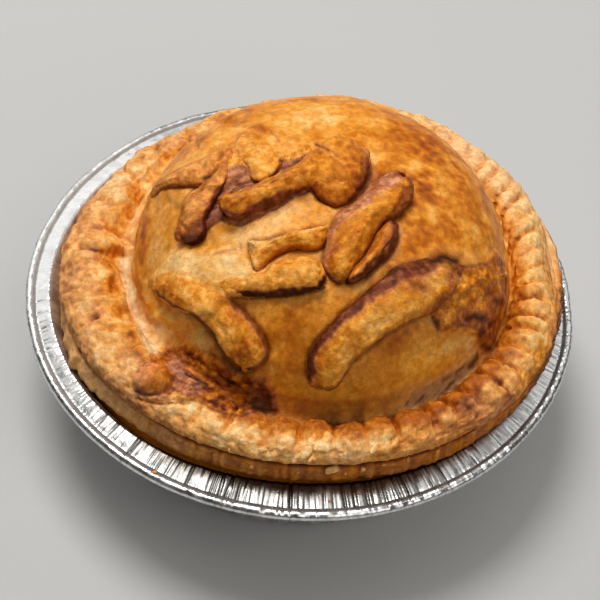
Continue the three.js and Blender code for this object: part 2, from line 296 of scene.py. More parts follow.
# ------------------------------------------------------------------ relief of the lid (viewing frame)
PLATEAU = [(160, 293), (158, 281), (164, 270), (167, 260), (173, 252), (187, 250), (214, 251), (229, 253), (246, 256), (256, 268), (262, 280), (260, 292), (246, 295), (234, 297), (226, 304), (212, 312), (195, 311), (178, 304), (166, 299)]
WEB = [(206, 233), (213, 226), (222, 220), (229, 224), (237, 226), (244, 224), (256, 219), (265, 213), (282, 205), (294, 198), (306, 195), (314, 188), (318, 170), (310, 152), (290, 160), (280, 158), (262, 170), (250, 166), (238, 163), (228, 170), (214, 182), (200, 198), (192, 214), (190, 228), (198, 237)]
UPPER = [(150, 203), (158, 182), (180, 169), (212, 158), (232, 148), (240, 134), (262, 128), (282, 137), (310, 146), (345, 144), (366, 158), (366, 184), (340, 205), (318, 195), (290, 199), (262, 211), (236, 222), (206, 233), (190, 210), (170, 195)]
PATCH_R = [(431, 316), (437, 328), (445, 332), (456, 326), (465, 327), (477, 334), (480, 345), (482, 353), (491, 354), (496, 341), (502, 318), (507, 298), (506, 280), (502, 260), (496, 252), (488, 264), (470, 266), (452, 266), (440, 290)]
LID_EDGE = [(149, 196), (142, 215), (137, 240), (135, 262), (138, 285), (144, 303), (151, 320), (190, 320), (190, 196)]
BARE = [(404, 405), (414, 394), (428, 386), (444, 378), (458, 368), (468, 359), (477, 350), (480, 357), (472, 369), (463, 379), (452, 389), (439, 397), (424, 403), (410, 408)]
PATCH_L = [(150, 356), (160, 353), (168, 348), (178, 345), (192, 346), (203, 351), (216, 357), (228, 363), (242, 374), (256, 378), (268, 379), (275, 392), (281, 410), (268, 414), (255, 411), (243, 416), (230, 415), (213, 410), (206, 405), (196, 400), (174, 403), (150, 402), (138, 399), (133, 384), (138, 366)]


def web_streaks(u, v):
    """Wrinkles of the web, drawn out along the strips beside it."""
    return fbm(np.stack([(0.875 * u - 0.485 * v) / 13.0, (0.875 * v + 0.485 * u) / 3.4, 0 * u], -1), 1.0, 57, 3)


def lid_relief(p, n):
    """Raised and sunken places of the lid, in mm along its normal."""
    u, v = project(p)
    g = smooth(facing(p, n), 0.02, 0.18)
    ju = u + 2.4 * noise(p, 2.6, 5)
    jv = v + 2.4 * noise(p, 2.6, 6)
    h = smooth(poly_in(ju, jv, PLATEAU), -7, 5) * (1.2 + 1.7 * np.clip((v - 250) / 45, 0, 1))
    h += 1.0 * smooth(poly_in(ju, jv, UPPER), -9, 3)
    web = smooth(poly_in(lerp(u, ju, 0.35), lerp(v, jv, 0.35), WEB), -1.0, 1.0)
    h += web * (1.1 + 0.25 * ridged(p * np.array([2.0, 0.7, 1.2]), 2.0, 9) + 0.45 * web_streaks(u, v) + 0.2 * fbm(p, 1.2, 10, 2))
    h += smooth(poly_in(ju, jv, PATCH_R), -2.5, 2.0) * (0.7 + 0.35 * fbm(p, 3.0, 12))
    h += smooth(poly_in(ju, jv, PATCH_L), -3.0, 3.0) * (0.8 + 0.3 * fbm(p, 3.4, 14))
    h += 0.5 * blob(u, v, 445, 318, 8, 9)
    lip = poly_in(ju, jv, LID_EDGE)
    h += 0.9 * smooth(lip, -1.2, 1.2) * (1 - smooth(lip, 4, 16)) * smooth(v, 198, 230)
    h += 0.4 * np.exp(-(seg_dist(ju, jv, [(440, 309), (454, 298), (468, 286), (481, 280), (502, 275)]) / 1.3) ** 2)
    for x, y, r, d in ((206.5, 177, 4.0, 2.2), (320, 147, 4.0, 0.7), (327, 149, 2.5, 0.6), (336, 155, 2.2, 0.7), (340, 165, 2.0, 0.5), (247, 163, 2.0, 0.5), (280, 160, 2.5, 0.6), (374, 194, 2.2, 0.5)):
        h -= d * blob(u, v, x, y, r, r)
    h += 0.6 * blob(u, v, 262, 131, 6, 4.5)
    h -= 0.4 * np.exp(-(seg_dist(u, v, [(235, 152), (236, 143), (241, 134), (247, 131)]) / 1.6) ** 2)
    h -= 0.4 * np.exp(-(seg_dist(u, v, [(271, 132), (276, 137), (280, 143)]) / 1.6) ** 2)
    h -= 0.20 * np.exp(-(seg_dist(ju, jv, [(203, 277), (213, 285), (223, 289), (232, 294)]) / 1.8) ** 2)
    return h * g


def creases(u, v):
    """How close each point of the lid lies to the crisp edge of a strip, from 0 to 1."""
    out = np.zeros(len(u))
    for spec in STRIPS.values():
        for side, soft in (("a", spec["fa"]), ("b", spec["fb"])):
            line = spline(spec[side], 48)
            near = (u > line[:, 0].min() - 9) & (u < line[:, 0].max() + 9) & (v > line[:, 1].min() - 9) & (v < line[:, 1].max() + 9)
            k = np.flatnonzero(near)
            if not len(k):
                continue
            best, crisp = np.full(len(k), 1e9), np.zeros(len(k))
            for j in range(len(line) - 1):
                d = seg_dist(u[k], v[k], [line[j], line[j + 1]])
                c = 1 - np.interp((j + 0.5) / (len(line) - 1), np.linspace(0, 1, len(soft)), soft)
                crisp = np.where(d < best, c, crisp)
                best = np.minimum(best, d)
            out[k] = np.maximum(out[k], crisp * np.exp(-((best / 2.0) ** 2)))
    return out


# ------------------------------------------------------------------ colours
def lin(c):
    c = np.asarray(c, float) / 255.0
    return np.where(c <= 0.04045, c / 12.92, ((c + 0.055) / 1.055) ** 2.4)


BAKE_AT = [0.0, 0.18, 0.36, 0.52, 0.66, 0.80, 0.92, 1.0]
BAKE_RGB = np.array([(247, 214, 160), (242, 190, 118), (232, 159, 66), (214, 131, 32), (187, 100, 12), (144, 66, 9), (90, 35, 8), (46, 18, 10)], float)
STAIN_AT = [0.0, 0.35, 0.7, 1.0]
STAIN_RGB = np.array([(214, 156, 126), (160, 91, 68), (98, 37, 17), (48, 15, 8)], float)


def ramp(x, at, rgb):
    x = np.clip(x, 0, 1)
    return lin(np.stack([np.interp(x, at, rgb[:, k]) for k in range(3)], -1))


# Places baked darker (+) or paler (-), and a few painted darker or paler as shade and light: x, y, half width, half
# height, turn, amount.
BAKED_AND_SHADED = [
    # (330, 118): a painted highlight, paler on the top of the lid.
    (330, 118, 60, 18, 0, -0.12), (262, 131, 6, 4.5, 0, 0.30), (470, 205, 30, 45, 0, 0.05), (425, 130, 40, 20, 35, 0.06),
    (320, 398, 110, 18, 0, 0.0), (390, 128, 60, 30, 20, 0.06), (430, 182, 40, 40, 0, 0.05), (300, 320, 42, 18, 0, 0.17), (285, 340, 20, 12, 0, 0.10), (290, 364, 20, 18, 0, 0.16), (268, 372, 8, 12, 0, 0.06),
    (395, 342, 30, 14, -35, 0.15), (428, 370, 46, 18, -25, -0.09), (455, 347, 18, 11, -20, -0.18),
    # (165, 322) and (200, 338): painted light, paler on the shaded left foot of the lid; (286, 190): painted light on
    # the lit lower edge of pastry_strip_3; (400, 446): painted shade on the rim at the front right.
    (143, 248, 5, 40, 5, 0.30), (158, 262, 8, 16, 10, 0.10), (165, 322, 18, 16, 0, -0.30), (150, 205, 5, 14, 15, 0.02), (200, 338, 18, 10, 50, -0.24), (213, 314, 14, 8, 40, -0.10), (276, 350, 3.5, 7, 0, -0.20), (271, 372, 3, 6, 0, -0.20), (282, 344, 3, 3, 0, -0.16), (440, 236, 26, 20, 0, 0.06), (286, 190, 16, 5, -30, -0.16), (400, 446, 26, 9, -12, 0.10),
    (205, 263, 52, 17, 5, -0.28), (258, 150, 26, 18, 0, -0.04), (270, 222, 46, 18, -20, -0.20), (238, 236, 30, 8, -5, -0.10),
    (190, 239, 13, 7, 0, 0.44), (203, 222, 6, 16, 30, 0.22), (356, 160, 10, 14, 0, 0.16), (337, 196, 16, 8, 0, 0.08),
    (290, 249, 44, 5, -12, 0.16), (176, 300, 16, 6, 35, 0.26), (242, 352, 12, 14, 40, 0.24), (384, 243, 8, 12, 30, 0.12), (168, 286, 9, 8, 0, 0.10), (199, 276, 15, 7, 20, -0.20),
    (320, 376, 13, 14, 0, -0.04), (390, 305, 30, 8, -38, -0.10), (438, 280, 9, 9, 0, -0.12),
    (405, 195, 7, 16, 10, 0.20), (410, 282, 12, 12, -30, 0.14),
    # stained patches
    (462, 284, 13, 8, -30, -0.14), (482, 272, 10, 5, -20, -0.10), (447, 316, 9, 8, 0, -0.20), (500, 285, 8, 20, 10, 0.0), (488, 332, 12, 14, 20, 0.08), (480, 296, 12, 12, 0, -0.10),
    (165, 353, 10, 5, -30, 0.06), (200, 352, 16, 6, 20, 0.10), (205, 366, 12, 8, 30, -0.10), (262, 394, 15, 16, 0, 0.22), (240, 380, 10, 8, 40, 0.06),
    # (142, 389): painted shadow under the blister.
    (228, 404, 14, 5, 15, -0.08), (142, 389, 10, 4, 10, 0.20), (153, 398, 16, 3, 5, -0.20), (188, 397, 14, 4, -5, -0.12),
    # rim
    # (99, 251) and (84, 249): painted shadow under the fold of the rim at the left.
    (117, 252, 12, 7, 22, 0.54), (110, 267, 5, 8, 0, 0.22), (112, 284, 6, 9, 0, 0.36), (118, 308, 9, 7, 20, 0.26), (131, 334, 9, 8, 40, 0.40), (138, 352, 9, 6, 20, 0.26), (125, 261, 4, 8, 10, 0.24), (99, 251, 14, 2.0, 12, 0.34), (84, 249, 6, 2, 0, 0.2), (88, 276, 5, 12, 0, 0.08), (99, 262, 9, 5, 10, 0.15), (97, 290, 9, 4, 20, 0.13), (97, 318, 9, 5, 30, 0.15), (104, 338, 8, 4, 30, 0.12), (78, 262, 5, 9, 0, -0.10), (84, 308, 5, 10, 20, -0.10),
    (133, 196, 10, 10, 0, 0.26), (118, 180, 14, 12, 0, -0.20), (225, 119, 13, 6, -15, 0.16), (112, 192, 22, 13, -40, -0.18),
    (200, 137, 6, 8, 0, 0.20), (182, 150, 5, 8, 0, 0.18), (245, 110, 8, 6, 0, 0.12), (165, 150, 8, 8, 0, 0.10),
    (469, 407, 11, 8, 20, 0.32), (498, 382, 6, 6, 0, 0.20), (506, 394, 5, 6, 0, 0.20), (440, 420, 9, 7, 0, 0.12), (508, 368, 12, 3, -5, 0.20),
    (142, 406, 10, 6, 15, 0.26), (240, 448, 5, 4, 0, 0.26), (205, 435, 12, 8, 0, 0.10),
    (200, 412, 60, 8, 8, -0.10), (300, 436, 60, 12, 0, -0.08),
]
# Gravy stains along lines, and a few lines of painted shade in the creases beside strips: points, half width, how
# strong, how dark.
STAINS_AND_SHADE = [
    ([(206, 232), (213, 226), (222, 220), (229, 224), (237, 226), (244, 224), (256, 219), (265, 213), (282, 205), (294, 198)], 1.6, 0.92, 0.84),
    # (333, 236) to (326, 256): painted shade on the right end of pastry_strip_8; (396, 234) to (366, 277): painted
    # shade with gravy stain on the right side of pastry_strip_7; (367, 160) to (360, 190): painted shade on the right
    # side of the knob of pastry_strip_3.
    ([(333, 236), (329, 246), (326, 256)], 3.0, 0.45, 0.40),
    ([(396, 234), (391, 250), (380, 264), (366, 277)], 5.0, 0.80, 0.72),
    ([(367, 160), (369, 170), (366, 182), (360, 190)], 4.5, 0.75, 0.78),
    ([(404, 272), (412, 284), (424, 290)], 5.0, 0.70, 0.72), ([(398, 268), (412, 264), (424, 262)], 4.0, 0.85, 0.62),
    ([(432, 260), (444, 258), (455, 263)], 7.2, 0.98, 1.0), ([(456, 268), (460, 276)], 3.0, 0.7, 0.8),
    ([(240, 306), (248, 316), (256, 325), (263, 336)], 2.8, 0.75, 0.58),
    ([(214, 254), (226, 252), (236, 250)], 2.0, 0.60, 0.30), ([(241, 243), (241, 250)], 2.0, 0.6, 0.35),
    ([(316, 145), (322, 148), (329, 150)], 1.9, 0.85, 0.75), ([(335, 155), (337, 155)], 1.6, 0.9, 0.9), ([(339, 164), (340, 165)], 1.2, 0.8, 0.8),
    ([(247, 163), (248, 163)], 1.4, 0.9, 0.9), ([(280, 160), (281, 161)], 1.7, 0.9, 0.9), ([(205, 177), (209, 175)], 3.6, 1.0, 1.0),
    ([(375, 194), (376, 194)], 1.4, 0.8, 0.8), ([(235, 152), (235, 145), (241, 135), (248, 131)], 1.0, 0.6, 0.45), ([(271, 132), (276, 137), (280, 143)], 1.2, 0.6, 0.45),
    ([(203, 275), (212, 284), (223, 290), (232, 296)], 0.8, 0.30, 0.4),
    ([(452, 274), (452, 286), (444, 298), (433, 309)], 1.1, 0.6, 0.6), ([(362, 162), (364, 172), (361, 184)], 2.0, 0.5, 0.6), ([(403, 187), (404, 193), (401, 203), (395, 213)], 1.5, 0.5, 0.6),
    ([(452, 267), (470, 266), (488, 264), (496, 253)], 2.6, 0.80, 0.82), ([(501, 260), (505, 278), (506, 296)], 2.2, 0.75, 0.75),
    ([(432, 315), (436, 324), (440, 330)], 3.2, 0.85, 0.85), ([(468, 317), (474, 314), (479, 319)], 5.5, 0.97, 0.97), ([(495, 300), (503, 303)], 4.5, 0.85, 0.88), ([(458, 326), (466, 325), (476, 331)], 2.0, 0.6, 0.7),
    ([(462, 377), (469, 370), (474, 362)], 2.8, 0.70, 0.72), ([(484, 346), (489, 349)], 5.0, 0.85, 0.84), ([(483, 330), (491, 336)], 4.5, 0.4, 0.62), ([(436, 319), (438, 325)], 4.0, 0.9, 0.95),
    ([(259, 384), (268, 398), (271, 408)], 6.0, 0.65, 0.80), ([(256, 406), (266, 410), (276, 410)], 4.0, 0.85, 0.95), ([(222, 360), (226, 362)], 3.0, 0.8, 0.95),
    ([(175, 363), (182, 373), (189, 381), (195, 388)], 7.0, 0.75, 0.14), ([(178, 386), (188, 391)], 4.5, 0.5, 0.20),
    # (138, 391) to (155, 393): painted shadow under the blister.
    ([(138, 391), (146, 394), (155, 393)], 2.6, 0.90, 0.84), ([(136, 398), (148, 402), (164, 404), (176, 403), (194, 400)], 1.2, 0.75, 0.70),
    ([(172, 370), (174, 380), (170, 390)], 1.3, 0.35, 0.5), ([(134, 380), (137, 370), (146, 364)], 1.2, 0.25, 0.4), ([(196, 400), (207, 405), (213, 410), (230, 415), (243, 416), (255, 410)], 1.3, 0.6, 0.75),
]
# Streaks of the same on the lid alone.
CRACKS = [
    ([(186, 374), (194, 379)], 1.0, 0.8, 0.75), ([(192, 374), (198, 381)], 1.1, 0.8, 0.85), ([(180, 381), (190, 384), (200, 383)], 0.9, 0.7, 0.75), ([(190, 390), (200, 389), (208, 385)], 1.1, 0.7, 0.7),
    ([(184, 369), (190, 372)], 0.9, 0.6, 0.7), ([(203, 351), (216, 357), (226, 362)], 1.6, 0.5, 0.7), ([(212, 380), (222, 388), (228, 396)], 1.6, 0.5, 0.75), ([(206, 372), (214, 376)], 1.4, 0.5, 0.75),
    # The line under pastry_strip_9 is its dark crevice: gravy stain and painted shade.
    ([(232, 297), (250, 298), (270, 297), (290, 296), (312, 292), (324, 287)], 1.8, 0.85, 0.9),
    ([(123, 256), (123, 272), (128, 290), (133, 310), (142, 332), (153, 353)], 1.0, 0.65, 0.50), ([(128, 282), (134, 288)], 0.8, 0.4, 0.45), ([(139, 318), (146, 322)], 0.8, 0.4, 0.45), ([(119, 246), (126, 250)], 1.0, 0.5, 0.5),
    ([(411, 395), (424, 389), (438, 381), (452, 372)], 1.1, 0.55, 0.68), ([(430, 397), (444, 393), (455, 386)], 1.3, 0.60, 0.72),
    ([(342, 380), (352, 384), (360, 392)], 0.8, 0.35, 0.5), ([(352, 376), (366, 379)], 0.8, 0.3, 0.5),
]
PALE = [
    ([(125, 262), (127, 276), (131, 296), (138, 318), (146, 338), (155, 353)], 5.0, 0.14),
    ([(408, 404), (422, 397), (440, 388), (456, 378)], 2.6, 0.06),
]

# Places of the lid with more gold in them: x, y, half width, half height, and how much red, green and blue.
GOLDEN = [(165, 320, 18, 18, (1.35, 1.20, 0.50)), (198, 332, 18, 12, (1.30, 1.17, 0.65)), (432, 372, 46, 20, (1.20, 1.12, 0.50)), (310, 398, 70, 16, (1.06, 1.14, 0.55))]


def paint(p, n, bake, stain=0.0, dark=0.0, grey=0.0, lid=True, flour=0.0):
    """Colour of every vertex from how baked and stained it is, painted shade and light included."""
    u, v = project(p)
    g = smooth(facing(p, n), -0.05, 0.2)
    ju = u + 1.6 * noise(p, 1.7, 41) + 1.6 * noise(p, 4.0, 43)
    jv = v + 1.6 * noise(p, 1.7, 42) + 1.6 * noise(p, 4.0, 44)
    bake = bake + np.zeros(len(p))
    stain = stain + np.zeros(len(p))
    dark = dark + np.zeros(len(p))
    grey = grey + np.zeros(len(p))
    for x, y, rx, ry, deg, amp in BAKED_AND_SHADED:
        bake += g * amp * blob(ju, jv, x, y, rx, ry, deg)
    for pts, w, s, d in STAINS_AND_SHADE + (CRACKS if lid else []):
        near = lerp(0.4, 1.0, min(1.0, w / 5.0))
        k = g * np.exp(-((seg_dist(lerp(u, ju, near), lerp(v, jv, near), pts) / w) ** 2))
        stain = np.maximum(stain, s * k)
        dark = np.maximum(dark, d * k)
    for pts, w, amp in PALE:
        k = g * np.exp(-((seg_dist(ju, jv, pts) / w) ** 2))
        bake -= amp * k
        grey = np.maximum(grey, k)
    patch_r = g * smooth(poly_in(ju, jv, PATCH_R), -2, 3)
    patch_l = g * smooth(poly_in(ju, jv, PATCH_L), -3, 5)
    web = g * smooth(poly_in(lerp(u, ju, 0.35), lerp(v, jv, 0.35), WEB), -1.5, 1.5) * (1.0 if lid else 0.0)
    mott = fbm(p, 2.2, 51, 3)
    c, s = math.cos(0.42), math.sin(0.42)
    streak = fbm(np.stack([(u * c + v * s) / 20.0, (v * c - u * s) / 3.6, 0 * u], -1), 1.0, 55, 3)
    grey *= (1 - patch_l) * (1 - patch_r)
    bake = lerp(bake, 0.72 + 0.10 * mott + 0.10 * streak + 0.12 * fbm(p, 1.1, 58, 2) + 0.70 * (bake - 0.47), patch_l)
    bake = lerp(bake, 0.70 + 0.14 * mott + 0.8 * (bake - 0.47), patch_r)
    crink = ridged(p * np.array([2.0, 0.7, 1.2]), 2.0, 9)
    stain = np.maximum(stain, web * np.clip(0.90 + 0.2 * mott, 0, 0.97))
    dark = np.maximum(dark, web * np.clip(0.60 - 0.36 * web_streaks(u, v) + 0.10 * mott - 0.10 * crink, 0.08, 0.95))
    col = ramp(bake, BAKE_AT, BAKE_RGB)
    fl = lin((228, 176, 132))
    col = lerp(col, np.minimum(fl, fl * (col[:, :1] / fl[0]) ** 1.2), (flour + np.zeros(len(p)))[:, None])
    st = ramp(dark, STAIN_AT, STAIN_RGB)
    col = lerp(col, st, np.clip(stain, 0, 1)[:, None])
    gr = lin((222, 208, 168))
    return lerp(col, col * 0.25 + gr * 0.75, (0.70 * np.clip(grey, 0, 1))[:, None])


# ------------------------------------------------------------------ meshes and materials
def make_piece(name, verts, quads=None, tris=None, tint=None, attrs=None):
    me = bpy.data.meshes.new(name)
    verts = np.asarray(verts, float) * 0.001
    parts, totals = [], []
    if quads is not None and len(quads):
        parts.append(np.asarray(quads, np.int32).ravel())
        totals.append(np.full(len(quads), 4, np.int32))
    if tris is not None and len(tris):
        parts.append(np.asarray(tris, np.int32).ravel())
        totals.append(np.full(len(tris), 3, np.int32))
    loops, totals = np.concatenate(parts), np.concatenate(totals)
    starts = np.r_[0, np.cumsum(totals)[:-1]].astype(np.int32)
    me.vertices.add(len(verts))
    me.vertices.foreach_set("co", verts.astype(np.float32).ravel())
    me.loops.add(len(loops))
    me.loops.foreach_set("vertex_index", loops)
    me.polygons.add(len(totals))
    me.polygons.foreach_set("loop_start", starts)
    me.polygons.foreach_set("loop_total", totals)
    me.update(calc_edges=True)
    me.validate()
    me.polygons.foreach_set("use_smooth", np.ones(len(me.polygons), bool))
    if tint is not None:
        a = me.color_attributes.new("tint", "FLOAT_COLOR", "POINT")
        a.data.foreach_set("color", np.c_[np.clip(tint, 0, 1), np.ones(len(tint))].astype(np.float32).ravel())
    for key, val in (attrs or {}).items():
        a = me.attributes.new(key, "FLOAT", "POINT")
        a.data.foreach_set("value", np.asarray(val, np.float32).ravel())
    ob = bpy.data.objects.new(name, me)
    bpy.context.scene.collection.objects.link(ob)
    return ob


def node(tree, kind, **props):
    nd = tree.nodes.new(kind)
    for k, val in props.items():
        if k in nd.inputs.keys():
            nd.inputs[k].default_value = val
        else:
            setattr(nd, k, val)
    return nd


def pastry_material(name, fine_bump, specular):
    m = bpy.data.materials.new(name)
    m.use_nodes = True
    t = m.node_tree
    t.nodes.clear()
    out = node(t, "ShaderNodeOutputMaterial")
    bsdf = node(t, "ShaderNodeBsdfPrincipled")
    t.links.new(bsdf.outputs[0], out.inputs[0])
    co = node(t, "ShaderNodeTexCoord")
    tint = node(t, "ShaderNodeAttribute", attribute_name="tint")
    gloss = node(t, "ShaderNodeAttribute", attribute_name="gloss")
    grit = node(t, "ShaderNodeAttribute", attribute_name="grit")
    n1 = node(t, "ShaderNodeTexNoise", Scale=620.0, Detail=5.0, Roughness=0.62)
    n2 = node(t, "ShaderNodeTexNoise", Scale=2300.0, Detail=3.0, Roughness=0.6)
    n3 = node(t, "ShaderNodeTexNoise", Scale=190.0, Detail=4.0, Roughness=0.55)
    for n in (n1, n2, n3):
        t.links.new(co.outputs["Object"], n.inputs["Vector"])
    # darker and lighter flecks
    r1 = node(t, "ShaderNodeMapRange", interpolation_type="SMOOTHSTEP")
    r1.inputs["From Min"].default_value, r1.inputs["From Max"].default_value = 0.30, 0.72
    r1.inputs["To Min"].default_value, r1.inputs["To Max"].default_value = 0.84, 1.14
    t.links.new(n1.outputs["Fac"], r1.inputs["Value"])
    r2 = node(t, "ShaderNodeMapRange", interpolation_type="SMOOTHSTEP")
    r2.inputs["From Min"].default_value, r2.inputs["From Max"].default_value = 0.28, 0.55
    r2.inputs["To Min"].default_value, r2.inputs["To Max"].default_value = 0.88, 1.03
    t.links.new(n2.outputs["Fac"], r2.inputs["Value"])
    mul = node(t, "ShaderNodeMath", operation="MULTIPLY")
    t.links.new(r1.outputs[0], mul.inputs[0])
    t.links.new(r2.outputs[0], mul.inputs[1])
    # deeper places also turn a little redder: each channel to its own power
    sep = node(t, "ShaderNodeCombineXYZ")
    for k, e in enumerate((0.90, 1.15, 1.45)):
        ex = node(t, "ShaderNodeMath", operation="MULTIPLY_ADD")
        t.links.new(grit.outputs["Fac"], ex.inputs[0])
        ex.inputs[1].default_value, ex.inputs[2].default_value = 2.4 * e, e
        pw = node(t, "ShaderNodeMath", operation="POWER")
        t.links.new(mul.outputs[0], pw.inputs[0])
        t.links.new(ex.outputs[0], pw.inputs[1])
        t.links.new(pw.outputs[0], sep.inputs[k])
    vm = node(t, "ShaderNodeVectorMath", operation="MULTIPLY")
    t.links.new(tint.outputs["Color"], vm.inputs[0])
    t.links.new(sep.outputs[0], vm.inputs[1])
    t.links.new(vm.outputs[0], bsdf.inputs["Base Color"])
    # sheen of the egg wash
    ra = node(t, "ShaderNodeMapRange")
    ra.inputs["From Min"].default_value, ra.inputs["From Max"].default_value = 0.0, 1.0
    ra.inputs["To Min"].default_value, ra.inputs["To Max"].default_value = 0.70, 0.34
    t.links.new(gloss.outputs["Fac"], ra.inputs["Value"])
    rb = node(t, "ShaderNodeMapRange")
    rb.inputs["From Min"].default_value, rb.inputs["From Max"].default_value = 0.25, 0.75
    rb.inputs["To Min"].default_value, rb.inputs["To Max"].default_value = -0.12, 0.14
    t.links.new(n1.outputs["Fac"], rb.inputs["Value"])
    add = node(t, "ShaderNodeMath", operation="ADD", use_clamp=True)
    t.links.new(ra.outputs[0], add.inputs[0])
    t.links.new(rb.outputs[0], add.inputs[1])
    t.links.new(add.outputs[0], bsdf.inputs["Roughness"])
    # fine grain
    b1 = node(t, "ShaderNodeBump", Strength=fine_bump, Distance=0.00035)
    b2 = node(t, "ShaderNodeBump", Strength=fine_bump * 0.7, Distance=0.00012)
    t.links.new(n1.outputs["Fac"], b1.inputs["Height"])
    t.links.new(n2.outputs["Fac"], b2.inputs["Height"])
    t.links.new(b1.outputs[0], b2.inputs["Normal"])
    t.links.new(b2.outputs[0], bsdf.inputs["Normal"])
    bsdf.inputs["Specular IOR Level"].default_value = specular
    return m


def foil_material():
    m = bpy.data.materials.new("foil")
    m.use_nodes = True
    t = m.node_tree
    t.nodes.clear()
    out = node(t, "ShaderNodeOutputMaterial")
    bsdf = node(t, "ShaderNodeBsdfPrincipled")
    t.links.new(bsdf.outputs[0], out.inputs[0])
    metal = node(t, "ShaderNodeAttribute", attribute_name="metal")
    t.links.new(metal.outputs["Fac"], bsdf.inputs["Metallic"])
    co = node(t, "ShaderNodeTexCoord")
    n1 = node(t, "ShaderNodeTexNoise", Scale=420.0, Detail=5.0, Roughness=0.6)
    n2 = node(t, "ShaderNodeTexNoise", Scale=1500.0, Detail=2.0, Roughness=0.5)
    vo = node(t, "ShaderNodeTexVoronoi", Scale=330.0)
    for n in (n1, n2, vo):
        t.links.new(co.outputs["Object"], n.inputs["Vector"])
    cr = node(t, "ShaderNodeValToRGB")
    cr.color_ramp.elements[0].position, cr.color_ramp.elements[0].color = 0.25, (0.66, 0.66, 0.655, 1)
    cr.color_ramp.elements[1].position, cr.color_ramp.elements[1].color = 0.75, (0.92, 0.92, 0.91, 1)
    t.links.new(n1.outputs["Fac"], cr.inputs["Fac"])
    tint = node(t, "ShaderNodeAttribute", attribute_name="tint")
    vm = node(t, "ShaderNodeVectorMath", operation="MULTIPLY")
    t.links.new(cr.outputs["Color"], vm.inputs[0])
    t.links.new(tint.outputs["Color"], vm.inputs[1])
    t.links.new(vm.outputs[0], bsdf.inputs["Base Color"])
    rr = node(t, "ShaderNodeMapRange")
    rr.inputs["From Min"].default_value, rr.inputs["From Max"].default_value = 0.3, 0.7
    rr.inputs["To Min"].default_value, rr.inputs["To Max"].default_value = 0.18, 0.40
    t.links.new(n1.outputs["Fac"], rr.inputs["Value"])
    t.links.new(rr.outputs[0], bsdf.inputs["Roughness"])
    b1 = node(t, "ShaderNodeBump", Strength=0.16, Distance=0.0004)
    b2 = node(t, "ShaderNodeBump", Strength=0.25, Distance=0.0001)
    t.links.new(vo.outputs["Distance"], b1.inputs["Height"])
    t.links.new(n2.outputs["Fac"], b2.inputs["Height"])
    t.links.new(b1.outputs[0], b2.inputs["Normal"])
    t.links.new(b2.outputs[0], bsdf.inputs["Normal"])
    return m


CRUST = pastry_material("crust", 0.6, 0.16)
STRIP = pastry_material("strip_pastry", 1.0, 0.13)
FOIL = foil_material()


def place(ob, mat, slot, *nodes):
    ob.data.materials.append(mat)
    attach(ob, "root")
    if nodes:
        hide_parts(*nodes)
    return ob


# ------------------------------------------------------------------ the pie
SURFACE = {}
NT = 768
_f = np.linspace(-math.pi, math.pi, 40001)
_w = np.cumsum(1 + 0.65 * (0.5 + 0.5 * np.cos(_f + math.radians(100))))
_w = (_w - _w[0]) / (_w[-1] - _w[0])
TH = np.interp(np.arange(NT) / NT, _w, _f)
DEG = np.degrees(TH)
COS, SIN = np.cos(TH), np.sin(TH)


def hump(deg, at, wide):
    d = (deg - at + 180) % 360 - 180
    return np.exp(-((d / wide) ** 2))


def crimp_edges():
    """Angles of the grooves between the crimps: close together on the right, wide apart on the left."""
    f = np.linspace(-180, 180, 20001)
    apart = 6.2 + 1.0 * hump(f, -95, 40) - 1.2 * hump(f, 5, 55) + 2.4 * hump(f, 180, 50)
    run = np.cumsum(51 * math.pi / 180 / apart)
    run = (run - run[0]) / (run[-1] - run[0])
    k = 50
    rng = np.random.default_rng(8)
    edges = np.interp((np.arange(k) + 0.5 + rng.uniform(-0.2, 0.2, k)) / k, run, f)
    return np.r_[edges, edges[0] + 360], rng.uniform(0.45, 1.35, k), rng.uniform(0.1, 1.0, k)


EDGES, SIZES, DEPTHS = crimp_edges()


def lobes(deg):
    """Lobe height (1 mid-crimp, 0 in the groove), the crimp's own size, distance to the groove in mm and its depth."""
    k = len(SIZES)
    d = (deg - EDGES[0]) % 360 + EDGES[0]
    i = np.clip(np.searchsorted(EDGES, d, side="right") - 1, 0, k - 1)
    w = EDGES[i + 1] - EDGES[i]
    f = (d - EDGES[i]) / w
    lo, hi = d - EDGES[i], EDGES[i + 1] - d
    gap = np.minimum(lo, hi) * math.pi / 180 * 51
    deep = np.where(lo < hi, DEPTHS[i], DEPTHS[(i + 1) % k])
    near = np.where(f < 0.5, SIZES[(i - 1) % k], SIZES[(i + 1) % k])
    size = lerp(SIZES[i], (SIZES[i] + near) / 2, np.abs(2 * f - 1) ** 3)
    return 1 - np.abs(2 * f - 1) ** 2.2, size, gap, deep


# how strongly the rim is crimped: sharp on the right, knuckled in front, soft on the left
CRIMP = 0.60 + 0.62 * hump(DEG, 8, 48) + 0.78 * hump(DEG, -82, 40) - 0.50 * hump(DEG, 178, 55) - 0.20 * hump(DEG, 95, 40)
# the grooves lean back on the right
SLANT = 1.7 * hump(DEG, 22, 34) + 0.5 * hump(DEG, -25, 30)

RIM = np.array([2.0, 0.5])
CREST = np.array([2.6, 0.3])
VALLEY = np.array([3.3, 0.1])
ZERO = np.array([0.0, 0.0])


